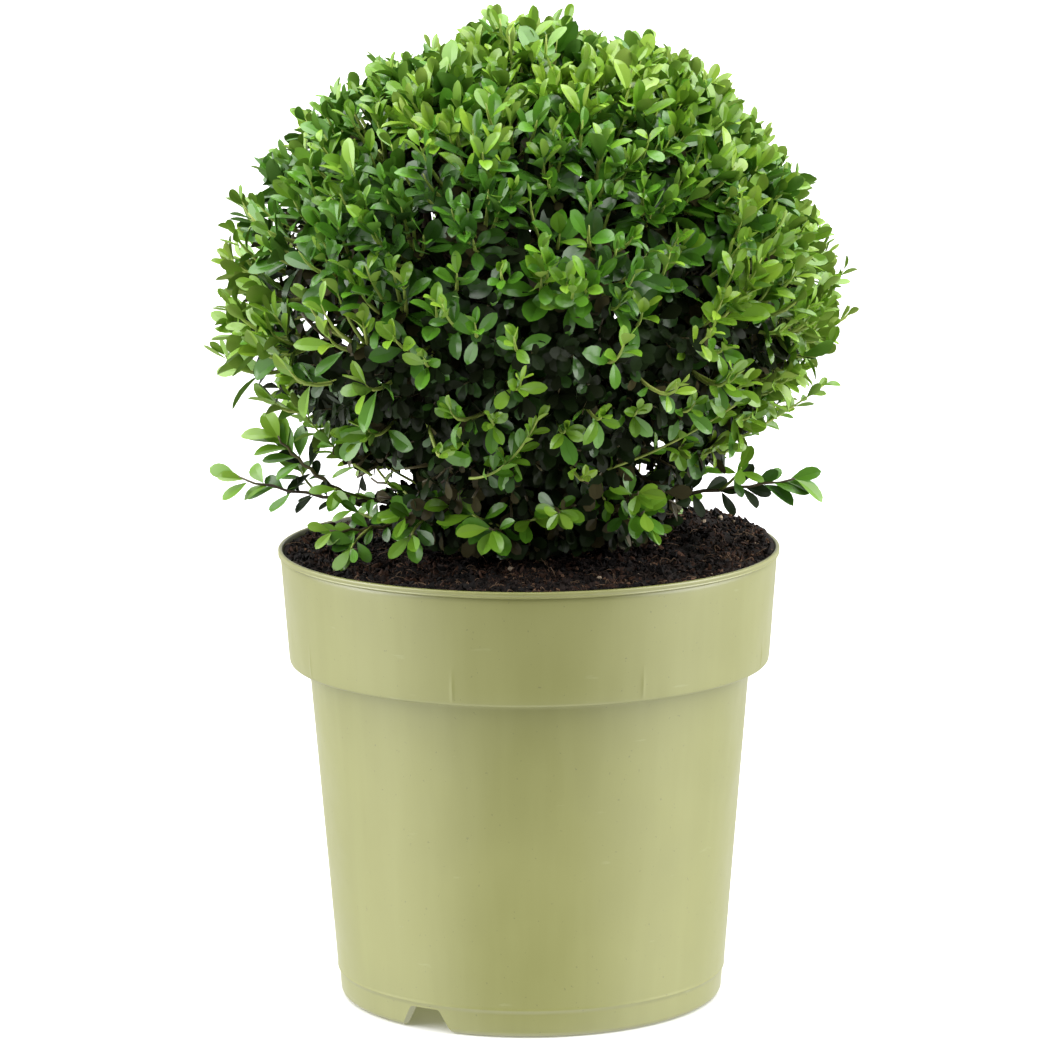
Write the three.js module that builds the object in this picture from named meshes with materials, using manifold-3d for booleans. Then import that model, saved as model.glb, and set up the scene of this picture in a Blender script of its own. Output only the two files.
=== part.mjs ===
// A Japanese holly clipped to a ball, growing in a moulded plastic container pot.
// Millimetres, +Z up. The origin is the middle of the pot's underside, and -Y is the front.
import * as THREE from "three";
import { mergeVertices } from "three/addons/utils/BufferGeometryUtils.js";
import Module from "manifold-3d";

const wasm = await Module();
wasm.setup();

// Driving dimensions of the whole object
const CLEAR = 0.3; // gap between pieces that meet
const FINEST = 0.02; // edges shorter than this are drawn together where pieces are fused
const SEED = 7503;
const GOLDEN_ANGLE = Math.PI * (3 - Math.sqrt(5));
const UP = new THREE.Vector3(0, 0, 1);

const POT = {
  sides: 40,
  wall: 1.8,
  floor: 2,
  padRadius: 45, // flat pad in the middle of the underside
  padSlope: 4,
  channelHeight: 10, // drainage channel between the pad and the foot ring
  footInner: 82.5,
  footOuter: 85.8,
  footRoundRadius: 88.2,
  footRoundHeight: 3.2,
  footLineRadius: 89.4,
  footLineHeight: 12.6,
  footLineStep: 0.7,
  bodyTopRadius: 101.4,
  bandBottom: 156.3, // underside of the wide band below the rim
  bandBottomRadius: 108.4,
  bandEdge: 1.5,
  bandTopRadius: 113.1,
  lipBottom: 205.2,
  lipRadius: 115,
  lipThick: 3.2,
  lipEdge: 1.2, // how far the lip's edges are rounded off
  height: 209,
};

const NOTCH = {
  azimuth: 237, // degrees from +X: front left, with a second one opposite
  count: 2,
  topWidth: 15,
  bottomWidth: 27,
  height: 10.4,
};

const SOIL = {
  edgeHeight: 206, // at the wall, in the middle of the slope
  rise: 2, // how much higher the right edge lies than the middle
  mound: 3.5, // the heap round the stem
  moundRadius: 62,
  rings: [0.3, 0.65], // where the surface bends, as shares of its radius
};

const TRUNK = {
  height: 31,
  radius: 9,
  topRadius: 7.6,
  flareRadius: 15,
  flareHeight: 11,
  lean: new THREE.Vector2(-2.2, 1.5), // how far the top stands from the foot
  sides: 12,
  steps: 7,
};

const BOUGH = {
  count: 6,
  startRadius: 4.2,
  endRadius: 3,
  sides: 6,
  steps: 4,
  firstAzimuth: 20,
  spread: 62,
  belowFork: [5, 10], // by turns, so that neighbours leave the trunk at two heights
};

const CROWN = {
  centre: new THREE.Vector3(-1, 0, 320),
  radius: 150,
  rise: 136.5, // from the centre to the clipped top
  drop: 92, // from the centre to the underside of the ball
  fullness: 1.85, // 2 is an ellipse, and less has flatter shoulders
  coreShare: 0.74,
  coreDetail: 3,
  coreLump: 0.035,
  shoots: 84,
  lowestSlope: -0.72, // of a shoot's direction
  rootShare: 0.66,
  lift: 0.16, // how far a shoot's root lies below its tip, as a slope
  leavesPerShoot: 5,
  leafLength: 29,
  bareShare: 0.5, // of a shoot, below its first leaf
  twigRadius: 2,
  twigEndRadius: 1.4,
  stemRadius: 5.2,
};

// The cone that parts the ball from the looser shoots under it
const SKIRT = { heightAtStem: 248, slope: 0.15, gap: 0.6 };

// Loose shoots low on the plant: where each one's tip lies, seen from above and from the side
const LOW_SHOOTS = [
  { name: "right", azimuth: 354, reach: 138, height: 246 },
  { name: "right_back", azimuth: 32, reach: 104, height: 240 },
  { name: "back_right", azimuth: 68, reach: 110, height: 234 },
  { name: "back_left", azimuth: 106, reach: 108, height: 240 },
  { name: "left_back", azimuth: 142, reach: 106, height: 236 },
  { name: "left", azimuth: 175, reach: 148, height: 249 },
  { name: "left_low", azimuth: 204, reach: 110, height: 224 },
  { name: "front_left", azimuth: 234, reach: 99, height: 232 },
  { name: "front", azimuth: 270, reach: 98, height: 229 },
  { name: "front_right", azimuth: 308, reach: 104, height: 234 },
];

const LOW = {
  footHeights: [11.5, 4.5], // above the ground, by turns
  boughRadius: 3.1,
  boughEndRadius: 2.3,
  sides: 5,
  steps: 3,
  coreAt: 55, // from the axis to the middle of the dense part
  coreHeight: 230,
  coreSize: new THREE.Vector3(21, 12, 15.5), // half sizes outwards, sideways and up
  stemRadius: 2,
  tipRadius: 1.3,
  sideTwigs: 4,
  twigLength: 31,
  leafLength: 27,
  leavesPerStem: 5,
  leavesPerTwig: 3,
  stemBare: 0.3, // shares of a stem and of a side twig below the first leaf
  twigBare: 0.5,
};

const LEAF = {
  widthShare: 0.47,
  widestAt: 0.6, // share of the length where the blade is widest
  thickShare: 0.05,
  cup: 0.05,
  sunk: 0.3,
  sizeSpread: 0.14,
  tipShare: 0.82, // size of a shoot's last leaf against its first
  openAtFoot: 66, // degrees between a leaf and its twig
  openAtTip: 42,
  openLast: 10,
  shrinks: [1, 0.86, 0.72], // sizes tried where the space is short
  turns: [0, 35, -35], // degrees tried where a neighbour is in the way
};

const materials = {
  pot: new THREE.MeshStandardMaterial({ color: 0xbcbf8e, roughness: 0.5, metalness: 0 }),
  soil: new THREE.MeshStandardMaterial({ color: 0x2a1a12, roughness: 1, metalness: 0 }),
  bark: new THREE.MeshStandardMaterial({ color: 0x5a4636, roughness: 0.9, metalness: 0 }),
  crown: new THREE.MeshStandardMaterial({ color: 0x4f8a26, roughness: 0.45, metalness: 0 }),
  lowLeaves: new THREE.MeshStandardMaterial({ color: 0x37622a, roughness: 0.5, metalness: 0 }),
};

// Repeatable random numbers between 0 and 1
function seeded(seed) {
  let state = seed >>> 0;
  return () => {
    state = (state + 0x6d2b79f5) >>> 0;
    let t = Math.imul(state ^ (state >>> 15), state | 1);
    t ^= t + Math.imul(t ^ (t >>> 7), t | 61);
    return ((t ^ (t >>> 14)) >>> 0) / 4294967296;
  };
}

const radians = (degrees) => THREE.MathUtils.degToRad(degrees);
const around = (azimuth, radius, z) =>
  new THREE.Vector3(radius * Math.cos(azimuth), radius * Math.sin(azimuth), z);

// A closed three.js geometry as a solid that can be joined and cut
function solidOf(geometry) {
  const bare = new THREE.BufferGeometry().setAttribute("position", geometry.getAttribute("position"));
  bare.setIndex(geometry.index);
  const merged = mergeVertices(bare, 1e-3);
  return new wasm.Manifold(
    new wasm.Mesh({
      numProp: 3,
      vertProperties: new Float32Array(merged.getAttribute("position").array),
      triVerts: new Uint32Array(merged.index.array),
    }),
  );
}

// A solid back as a named mesh
function meshOf(name, solid, material) {
  const { vertProperties, triVerts } = solid.getMesh();
  const geometry = new THREE.BufferGeometry();
  geometry.setAttribute("position", new THREE.BufferAttribute(vertProperties, 3));
  geometry.setIndex(new THREE.BufferAttribute(triVerts, 1));
  geometry.computeVertexNormals();
  const mesh = new THREE.Mesh(geometry, material);
  mesh.name = name;
  return mesh;
}

// A solid from points and the triangles between them
function facets(points, triangles) {
  const geometry = new THREE.BufferGeometry().setFromPoints(points);
  geometry.setIndex(triangles.flat());
  return solidOf(geometry);
}

// A round solid of revolution about Z, from radius and height pairs that start and end on the axis
function turned(profile, sides) {
  const lathe = new THREE.LatheGeometry(
    profile.map(([radius, z]) => new THREE.Vector2(radius, z)),
    sides,
  );
  return lathe.rotateX(Math.PI / 2);
}

// A tapering limb through points, each with its radius, closed flat at both ends,
// which are cut level where the limb stands on something.
function limb(points, radii, sides, levelEnds = false) {
  const rings = points.map((point, i) => {
    const ahead = points[Math.min(i + 1, points.length - 1)];
    const behind = points[Math.max(i - 1, 0)];
    const atEnd = i === 0 || i === points.length - 1;
    const along = levelEnds && atEnd ? UP.clone() : ahead.clone().sub(behind).normalize();
    const [side, other] = across(along);
    return Array.from({ length: sides }, (_, k) => {
      const turn = (2 * Math.PI * k) / sides;
      return point
        .clone()
        .addScaledVector(side, radii[i] * Math.cos(turn))
        .addScaledVector(other, radii[i] * Math.sin(turn));
    });
  });
  const triangles = [];
  for (let i = 0; i + 1 < rings.length; i++) {
    for (let k = 0; k < sides; k++) {
      const next = (k + 1) % sides;
      const [a, b, c, d] = [i * sides + k, i * sides + next, (i + 1) * sides + next, (i + 1) * sides + k];
      triangles.push([a, b, c], [a, c, d]);
    }
  }
  const last = (rings.length - 1) * sides;
  for (let k = 1; k + 1 < sides; k++) {
    triangles.push([0, k + 1, k], [last, last + k, last + k + 1]);
  }
  return facets(rings.flat(), triangles);
}

// Two directions square to an axis and to each other
function across(along) {
  const reference = Math.abs(along.z) < 0.9 ? UP : new THREE.Vector3(1, 0, 0);
  const side = new THREE.Vector3().crossVectors(reference, along).normalize();
  return [side, new THREE.Vector3().crossVectors(along, side)];
}

// Points evenly along a smooth bend from start to end, bowed by an offset in the middle
function bend(start, end, bow, steps) {
  const middle = start.clone().lerp(end, 0.5).add(bow);
  const curve = new THREE.QuadraticBezierCurve3(start, middle, end);
  return curve.getPoints(steps);
}

const tapered = (from, to, steps) => Array.from({ length: steps + 1 }, (_, i) => from + ((to - from) * i) / steps);

// Heights and radii of the pot's wall
const bodyRadius = (z) =>
  THREE.MathUtils.mapLinear(z, POT.footLineHeight, POT.bandBottom, POT.footLineRadius + POT.footLineStep, POT.bodyTopRadius);
const bandRadius = (z) =>
  THREE.MathUtils.mapLinear(z, POT.bandBottom, POT.lipBottom, POT.bandBottomRadius + POT.bandEdge, POT.bandTopRadius);
const innerStep = POT.bandBottom + POT.wall;
const floorTop = POT.channelHeight + POT.floor;
const padInner = POT.padRadius - POT.padSlope - POT.floor;

function potSolid() {
  const lipInner = POT.lipRadius - POT.lipThick;
  const profile = [
    [0, 0],
    [POT.padRadius - POT.padSlope, 0],
    [POT.padRadius, POT.channelHeight],
    [POT.footInner, POT.channelHeight],
    [POT.footInner, 0],
    [POT.footOuter, 0],
    [POT.footRoundRadius, POT.footRoundHeight],
    [POT.footLineRadius, POT.footLineHeight],
    [POT.footLineRadius + POT.footLineStep, POT.footLineHeight + POT.footLineStep],
    [POT.bodyTopRadius, POT.bandBottom],
    [POT.bandBottomRadius, POT.bandBottom],
    [POT.bandBottomRadius + POT.bandEdge, POT.bandBottom + POT.bandEdge],
    [POT.bandTopRadius, POT.lipBottom],
    [POT.lipRadius, POT.lipBottom + POT.lipEdge],
    [POT.lipRadius, POT.height - POT.lipEdge],
    [POT.lipRadius - POT.lipEdge, POT.height],
    [lipInner + POT.lipEdge / 2, POT.height],
    [lipInner, POT.height - POT.lipEdge],
    [bandRadius(POT.lipBottom) - POT.wall, POT.lipBottom],
    [bandRadius(innerStep) - POT.wall, innerStep],
    [bodyRadius(innerStep) - POT.wall, innerStep],
    [bodyRadius(floorTop) - POT.wall, floorTop],
    [padInner + POT.padSlope, floorTop],
    [padInner, POT.floor],
    [0, POT.floor],
  ];
  const notches = Array.from({ length: NOTCH.count }, (_, i) =>
    notchSolid(radians(NOTCH.azimuth + (360 * i) / NOTCH.count)),
  );
  return notches.reduce((pot, notch) => pot.subtract(notch), solidOf(turned(profile, POT.sides)));
}

// A drain notch through the foot ring, wider at the ground
function notchSolid(azimuth) {
  const below = 2;
  const flare = (NOTCH.bottomWidth - NOTCH.topWidth) / 2 / NOTCH.height;
  const outline = new THREE.Shape([
    new THREE.Vector2(-NOTCH.bottomWidth / 2 - flare * below, -below),
    new THREE.Vector2(NOTCH.bottomWidth / 2 + flare * below, -below),
    new THREE.Vector2(NOTCH.topWidth / 2, NOTCH.height),
    new THREE.Vector2(-NOTCH.topWidth / 2, NOTCH.height),
  ]);
  const reach = POT.footLineRadius - POT.footInner + 8;
  const prism = new THREE.ExtrudeGeometry(outline, { depth: reach, bevelEnabled: false, steps: 1 });
  prism.rotateX(Math.PI / 2);
  prism.rotateZ(Math.PI / 2);
  prism.translate(POT.footInner - 4, 0, 0);
  prism.rotateZ(azimuth);
  return solidOf(prism);
}

const potInner = (z) => (z > innerStep ? bandRadius(z) : bodyRadius(z)) - POT.wall;

// Height of the soil's surface, higher on the right and heaped round the stem
function soilHeight(x, y) {
  const distance = Math.hypot(x, y);
  const heap = SOIL.mound * Math.exp(-((distance / SOIL.moundRadius) ** 2));
  return SOIL.edgeHeight + (SOIL.rise * x) / POT.bandTopRadius + heap;
}

function soilSolid() {
  const edge = SOIL.edgeHeight;
  const edgeRadius = potInner(edge) - CLEAR;
  const profile = [
    [0, POT.floor + CLEAR],
    [padInner - CLEAR, POT.floor + CLEAR],
    [padInner + POT.padSlope, floorTop + CLEAR],
    [potInner(floorTop) - CLEAR, floorTop + CLEAR],
    [bodyRadius(innerStep) - POT.wall - CLEAR, innerStep + CLEAR],
    [potInner(innerStep + 1) - CLEAR, innerStep + CLEAR],
    [edgeRadius, edge],
    ...SOIL.rings.toReversed().map((share) => [edgeRadius * share, edge]),
    [0, edge],
  ];
  const geometry = turned(profile, POT.sides);
  const at = geometry.getAttribute("position");
  for (let i = 0; i < at.count; i++) {
    const [x, y, z] = [at.getX(i), at.getY(i), at.getZ(i)];
    if (z < edge - 0.01) continue;
    const height = soilHeight(x, y);
    const onWall = Math.hypot(x, y) > edgeRadius - 0.01;
    const scale = onWall ? (potInner(height) - CLEAR) / edgeRadius : 1;
    at.setXYZ(i, x * scale, y * scale, height);
  }
  return solidOf(geometry);
}

const ground = soilHeight(0, 0) + SOIL.mound * 0.02 + CLEAR;
const forkHeight = ground + TRUNK.height;

// The trunk's axis, leaning evenly from its foot, with any extra on its radius
function trunkSolid(extra = 0) {
  const shares = tapered(0, 1, TRUNK.steps);
  const points = shares.map(
    (share) => new THREE.Vector3(TRUNK.lean.x * share, TRUNK.lean.y * share, ground + TRUNK.height * share),
  );
  const radii = shares.map((share) => {
    const flare = (TRUNK.flareRadius - TRUNK.radius) * Math.exp((-share * TRUNK.height * 2) / TRUNK.flareHeight);
    return THREE.MathUtils.lerp(TRUNK.radius, TRUNK.topRadius, share) + flare + extra;
  });
  if (extra > 0) points[points.length - 1].z += extra;
  return limb(points, radii, TRUNK.sides, true);
}

// Distance from the crown's centre to the clipped surface along a direction
function crownReach(direction) {
  const level = Math.hypot(direction.x, direction.y) / CROWN.radius;
  const steep = direction.z > 0 ? direction.z / CROWN.rise : -direction.z / CROWN.drop;
  return (level ** CROWN.fullness + steep ** CROWN.fullness) ** (-1 / CROWN.fullness);
}

// The shaded inside of the ball, a little lumpy
function coreSolid(extra = 0) {
  const geometry = new THREE.IcosahedronGeometry(1, CROWN.coreDetail);
  const at = geometry.getAttribute("position");
  const direction = new THREE.Vector3();
  for (let i = 0; i < at.count; i++) {
    direction.fromBufferAttribute(at, i).normalize();
    const wave = Math.sin(5 * direction.x + 1) * Math.sin(6 * direction.y + 2) * Math.cos(5 * direction.z);
    const reach = crownReach(direction) * (CROWN.coreShare + CROWN.coreLump * wave) + extra;
    direction.multiplyScalar(reach).add(CROWN.centre);
    at.setXYZ(i, direction.x, direction.y, direction.z);
  }
  return solidOf(geometry);
}

// The crown's own stem, from inside the core down to just above the fork
function crownStemSolid(extra = 0) {
  const foot = new THREE.Vector3(TRUNK.lean.x, TRUNK.lean.y, forkHeight + CLEAR - extra);
  const top = CROWN.centre.clone().setZ(CROWN.centre.z - CROWN.drop * 0.5);
  return limb([foot, top], [CROWN.stemRadius + extra, CROWN.stemRadius + extra], BOUGH.sides, true);
}

// Limbs that leaves must not touch: each a list of points with a radius
const limbPaths = [];

function boughPath(index) {
  const azimuth = radians(BOUGH.firstAzimuth + (360 * index) / BOUGH.count);
  const startHeight = forkHeight - BOUGH.belowFork[index % BOUGH.belowFork.length];
  const lean = new THREE.Vector3(TRUNK.lean.x, TRUNK.lean.y, 0);
  const start = around(azimuth, TRUNK.topRadius * 0.4, startHeight).add(lean);
  const end = around(azimuth, BOUGH.spread, CROWN.centre.z - CROWN.drop * 0.55);
  return bend(start, end, around(azimuth, 7, -5), BOUGH.steps);
}

function boughSolid(index, neighbours) {
  const points = boughPath(index);
  limbPaths.push({ points, radius: BOUGH.startRadius });
  const whole = limb(points, tapered(BOUGH.startRadius, BOUGH.endRadius, BOUGH.steps), BOUGH.sides);
  return largest(neighbours.reduce((solid, neighbour) => solid.subtract(neighbour), whole));
}

// The one large body of a cut solid, without scraps
function largest(solid) {
  return solid.decompose().sort((a, b) => b.volume() - a.volume())[0];
}

// Pieces joined to one body
function fused(pieces) {
  return largest(wasm.Manifold.union(pieces).asOriginal().simplify(FINEST));
}

// One leaf of eight faces: its corners from root to tip
function leafPoints(root, along, facing, length) {
  const side = new THREE.Vector3().crossVectors(facing, along).normalize();
  const half = (length * LEAF.widthShare) / 2;
  const thick = (length * LEAF.thickShare) / 2;
  const place = (forward, sideways, up) =>
    root
      .clone()
      .addScaledVector(along, forward * length)
      .addScaledVector(side, sideways)
      .addScaledVector(facing, up);
  return [
    place(0, 0, 0).addScaledVector(along, -LEAF.sunk),
    place(1, 0, 0),
    place(LEAF.widestAt, half, LEAF.cup * length),
    place(LEAF.widestAt, -half, LEAF.cup * length),
    place(LEAF.widestAt * 0.9, 0, thick),
    place(LEAF.widestAt * 0.9, 0, -thick),
  ];
}

const LEAF_TRIANGLES = [
  [0, 4, 2],
  [4, 1, 2],
  [0, 3, 4],
  [4, 3, 1],
  [0, 2, 5],
  [5, 2, 1],
  [0, 5, 3],
  [5, 1, 3],
];

// Does a leaf stand clear of every limb?
function clearOfLimbs(corners) {
  const [root, tip] = corners;
  const probes = [0.2, 0.4, 0.6, 0.8, 1].map((share) => root.clone().lerp(tip, share));
  probes.push(corners[2], corners[3]);
  const nearest = new THREE.Vector3();
  return limbPaths.every(({ points, radius }) =>
    points.slice(1).every((end, i) => {
      const line = new THREE.Line3(points[i], end);
      return probes.every((probe) => line.closestPointToPoint(probe, true, nearest).distanceTo(probe) > radius + 3);
    }),
  );
}

// Leaves stand round a twig by the golden angle, flatter near its foot, with one at the tip.
// A leaf is turned or made smaller where it would leave the mass's own space, touch a limb
// or run through a leaf already there, and skipped where that doesn't help.
function leavesOn([start, end], { count, from, length, inside, random, placed }) {
  const along = end.clone().sub(start).normalize();
  const [side, other] = across(along);
  const firstTurn = random() * 2 * Math.PI;
  for (let k = 0; k < count; k++) {
    const last = k === count - 1;
    const share = k / Math.max(count - 1, 1);
    const root = start.clone().lerp(end, from + (1 - from) * share * 0.96);
    const open = radians(last ? LEAF.openLast : THREE.MathUtils.lerp(LEAF.openAtFoot, LEAF.openAtTip, share));
    const size = length * (1 + LEAF.sizeSpread * (2 * random() - 1)) * THREE.MathUtils.lerp(1, LEAF.tipShare, share);
    const tries = LEAF.shrinks.flatMap((shrink) => LEAF.turns.map((turn) => [size * shrink, radians(turn)]));
    for (const [tried, extraTurn] of tries) {
      const turn = firstTurn + k * GOLDEN_ANGLE + extraTurn;
      const outward = side.clone().multiplyScalar(Math.cos(turn)).addScaledVector(other, Math.sin(turn));
      const direction = along.clone().multiplyScalar(Math.cos(open)).addScaledVector(outward, Math.sin(open));
      const facing = along.clone().multiplyScalar(Math.sin(open)).addScaledVector(outward, -Math.cos(open));
      const corners = leafPoints(root, direction, facing, tried);
      if (!corners.every(inside) || !clearOfLimbs(corners)) continue;
      const solid = facets(corners, LEAF_TRIANGLES);
      const box = new THREE.Box3().setFromPoints(corners);
      const near = placed.filter((leaf) => leaf.box.intersectsBox(box));
      if (near.some((leaf) => !leaf.solid.intersect(solid).isEmpty())) continue;
      placed.push({ solid, box });
      break;
    }
  }
}

const partingHeight = (point) => SKIRT.heightAtStem + SKIRT.slope * Math.hypot(point.x, point.y);

// Inside the clipped surface, and above the parting cone
function insideCrown(point) {
  const offset = point.clone().sub(CROWN.centre);
  const distance = offset.length();
  return distance <= crownReach(offset.normalize()) && point.z > partingHeight(point) + SKIRT.gap;
}

// The clipped ball: a core, its stem, and short leafy shoots spread evenly over it
function crownSolid() {
  const random = seeded(SEED);
  const twigs = [];
  const placed = [];
  for (let i = 0; i < CROWN.shoots; i++) {
    const slope = THREE.MathUtils.lerp(1, CROWN.lowestSlope, i / (CROWN.shoots - 1));
    const direction = around(i * GOLDEN_ANGLE, Math.sqrt(1 - slope * slope), slope);
    const rootDirection = direction.clone().addScaledVector(UP, -CROWN.lift * (1 - slope * slope)).normalize();
    const root = rootDirection.multiplyScalar(crownReach(rootDirection) * CROWN.rootShare).add(CROWN.centre);
    const lastLeaf = CROWN.leafLength * LEAF.tipShare * (0.94 + 0.16 * random());
    const tip = direction.clone().multiplyScalar(crownReach(direction) - lastLeaf).add(CROWN.centre);
    if (!insideCrown(tip) || !insideCrown(root)) continue;
    twigs.push(limb([root, tip], [CROWN.twigRadius, CROWN.twigEndRadius], 3));
    leavesOn([root, tip], {
      count: CROWN.leavesPerShoot,
      from: CROWN.bareShare,
      length: CROWN.leafLength,
      inside: insideCrown,
      random,
      placed,
    });
  }
  const leaves = placed.map((leaf) => leaf.solid);
  return fused([coreSolid(), crownStemSolid(), ...twigs, ...leaves]);
}

// A low shoot's line: out of the trunk's flank to its dense part, and on to its tip
function lowPath(shoot, index) {
  const azimuth = radians(shoot.azimuth);
  const footHeight = ground + LOW.footHeights[index % LOW.footHeights.length];
  const foot = around(azimuth, TRUNK.radius * 0.5, footHeight);
  const fork = around(azimuth, LOW.coreAt - LOW.coreSize.x - 2, LOW.coreHeight);
  const tip = around(azimuth, shoot.reach - LOW.leafLength * LEAF.tipShare, shoot.height);
  return { azimuth, foot, fork, tip };
}

function lowBoughSolid(shoot, index, neighbours) {
  const { azimuth, foot, fork } = lowPath(shoot, index);
  const points = bend(foot, fork, around(azimuth, 3, -2), LOW.steps);
  limbPaths.push({ points, radius: LOW.boughRadius });
  const whole = limb(points, tapered(LOW.boughRadius, LOW.boughEndRadius, LOW.steps), LOW.sides);
  return largest(neighbours.reduce((solid, neighbour) => solid.subtract(neighbour), whole));
}

// A low shoot's own wedge of space: between its neighbours, over the soil and rim, under the ball
function wedgeOf(index) {
  const count = LOW_SHOOTS.length;
  const turn = (from, to) => (to - from + 360) % 360;
  const here = LOW_SHOOTS[index].azimuth;
  const before = LOW_SHOOTS[(index + count - 1) % count].azimuth;
  const after = LOW_SHOOTS[(index + 1) % count].azimuth;
  const low = radians(here - turn(before, here) / 2);
  const high = radians(here + turn(here, after) / 2);
  return (point) => {
    const pastLow = -Math.sin(low) * point.x + Math.cos(low) * point.y;
    const beforeHigh = Math.sin(high) * point.x - Math.cos(high) * point.y;
    const distance = Math.hypot(point.x, point.y);
    const floor = distance > potInner(POT.lipBottom) - 4 ? POT.height : soilHeight(point.x, point.y);
    return (
      pastLow > SKIRT.gap &&
      beforeHigh > SKIRT.gap &&
      distance <= LOW_SHOOTS[index].reach &&
      point.z > floor + SKIRT.gap * 2 &&
      point.z < partingHeight(point) - SKIRT.gap
    );
  };
}

// The stem of a low shoot's leafy end, which starts just clear of its bough
function lowStemSolid(shoot, index, extra = 0) {
  const { azimuth, fork, tip } = lowPath(shoot, index);
  const start = fork.clone().add(around(azimuth, CLEAR - extra, 0));
  return limb([start, tip], [LOW.stemRadius + 2 * extra, LOW.tipRadius + 2 * extra], 3);
}

// The dense part of a low shoot
function lowCoreSolid(azimuth) {
  const geometry = new THREE.SphereGeometry(1, 6, 4);
  geometry.scale(LOW.coreSize.x, LOW.coreSize.y, LOW.coreSize.z);
  geometry.translate(LOW.coreAt, 0, LOW.coreHeight);
  geometry.rotateZ(azimuth);
  return solidOf(geometry);
}

// The leafy end of a low shoot: a stem through its dense part, with twigs to all sides in turn
function lowSpraySolid(shoot, index) {
  const random = seeded(SEED + 11 * (index + 1));
  const { azimuth, fork, tip } = lowPath(shoot, index);
  const inside = wedgeOf(index);
  const twigs = [lowStemSolid(shoot, index)];
  const placed = [];
  const rule = { length: LOW.leafLength, inside, random, placed };
  leavesOn([fork, tip], { ...rule, count: LOW.leavesPerStem, from: LOW.stemBare });
  for (let k = 0; k < LOW.sideTwigs; k++) {
    const root = around(azimuth, LOW.coreAt + LOW.coreSize.x * (0.8 * random() - 0.2), LOW.coreHeight);
    const sideways = azimuth + (k % 2 ? -1 : 1) * radians(20 + 45 * random());
    const climb = radians(62 * Math.sin(k * GOLDEN_ANGLE) + 6);
    const length = LOW.twigLength * (0.8 + 0.3 * random());
    const end = root.clone().add(around(sideways, length * Math.cos(climb), length * Math.sin(climb)));
    if (!inside(end)) continue;
    const before = placed.length;
    leavesOn([root, end], { ...rule, count: LOW.leavesPerTwig, from: LOW.twigBare });
    if (placed.length > before) twigs.push(limb([root, end], [LOW.stemRadius * 0.8, LOW.tipRadius], 3));
  }
  return fused([lowCoreSolid(azimuth), ...twigs, ...placed.map((leaf) => leaf.solid)]);
}

function buildPlant() {
  const plant = new THREE.Group();
  plant.name = "potted_holly_ball";
  plant.add(meshOf("pot", potSolid(), materials.pot));
  plant.add(meshOf("soil", soilSolid(), materials.soil));
  plant.add(meshOf("trunk", trunkSolid(), materials.bark));

  const cutters = [trunkSolid(CLEAR), coreSolid(CLEAR), crownStemSolid(CLEAR)];
  for (let i = 0; i < BOUGH.count; i++) {
    plant.add(meshOf(`bough_${i + 1}`, boughSolid(i, cutters), materials.bark));
  }
  LOW_SHOOTS.forEach((shoot, i) => {
    const bough = lowBoughSolid(shoot, i, [...cutters, lowStemSolid(shoot, i, CLEAR)]);
    plant.add(meshOf(`low_bough_${shoot.name}`, bough, materials.bark));
  });
  LOW_SHOOTS.forEach((shoot, i) => {
    plant.add(meshOf(`low_spray_${shoot.name}`, lowSpraySolid(shoot, i), materials.lowLeaves));
  });
  plant.add(meshOf("crown", crownSolid(), materials.crown));
  return plant;
}

export default buildPlant();
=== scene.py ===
"""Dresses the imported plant: a Japanese holly clipped to a ball, in a moulded plastic pot.

Sizes are in millimetres and angles in degrees, as in the part's own frame: +Z up, the origin in the
middle of the pot's underside, -Y to the front. A mesh turns to metres when it is made.
"""

import math
from collections import namedtuple
from itertools import combinations

import bpy
import numpy as np
from mathutils import Euler, Matrix, Vector, noise


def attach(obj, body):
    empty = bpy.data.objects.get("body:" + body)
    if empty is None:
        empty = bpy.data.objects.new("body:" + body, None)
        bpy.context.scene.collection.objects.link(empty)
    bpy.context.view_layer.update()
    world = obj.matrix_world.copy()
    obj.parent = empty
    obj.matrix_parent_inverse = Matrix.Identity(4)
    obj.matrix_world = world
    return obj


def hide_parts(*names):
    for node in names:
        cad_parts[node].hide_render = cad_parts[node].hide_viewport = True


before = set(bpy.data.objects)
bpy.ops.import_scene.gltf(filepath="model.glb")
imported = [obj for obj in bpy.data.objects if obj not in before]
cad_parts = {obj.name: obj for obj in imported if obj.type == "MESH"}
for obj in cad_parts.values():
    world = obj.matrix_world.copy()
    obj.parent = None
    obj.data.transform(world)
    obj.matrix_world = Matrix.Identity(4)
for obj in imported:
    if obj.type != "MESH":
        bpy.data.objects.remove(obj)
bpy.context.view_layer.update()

MM = 0.001
SEED = 7503
GOLDEN_ANGLE = math.pi * (3 - math.sqrt(5))
UP = np.array([0.0, 0.0, 1.0])
rng = np.random.default_rng(SEED)

# The photograph's camera: a long lens, looking a little down on the pot's axis
CAMERA_DISTANCE = 2418
CAMERA_HEIGHT = 657.7
CAMERA_PITCH = 10.3
CAMERA_ROLL = -0.32
CAMERA_LENS = 183.84
CAMERA_SENSOR = 36
CAMERA_SHIFT = -3.7 / 1050

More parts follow.
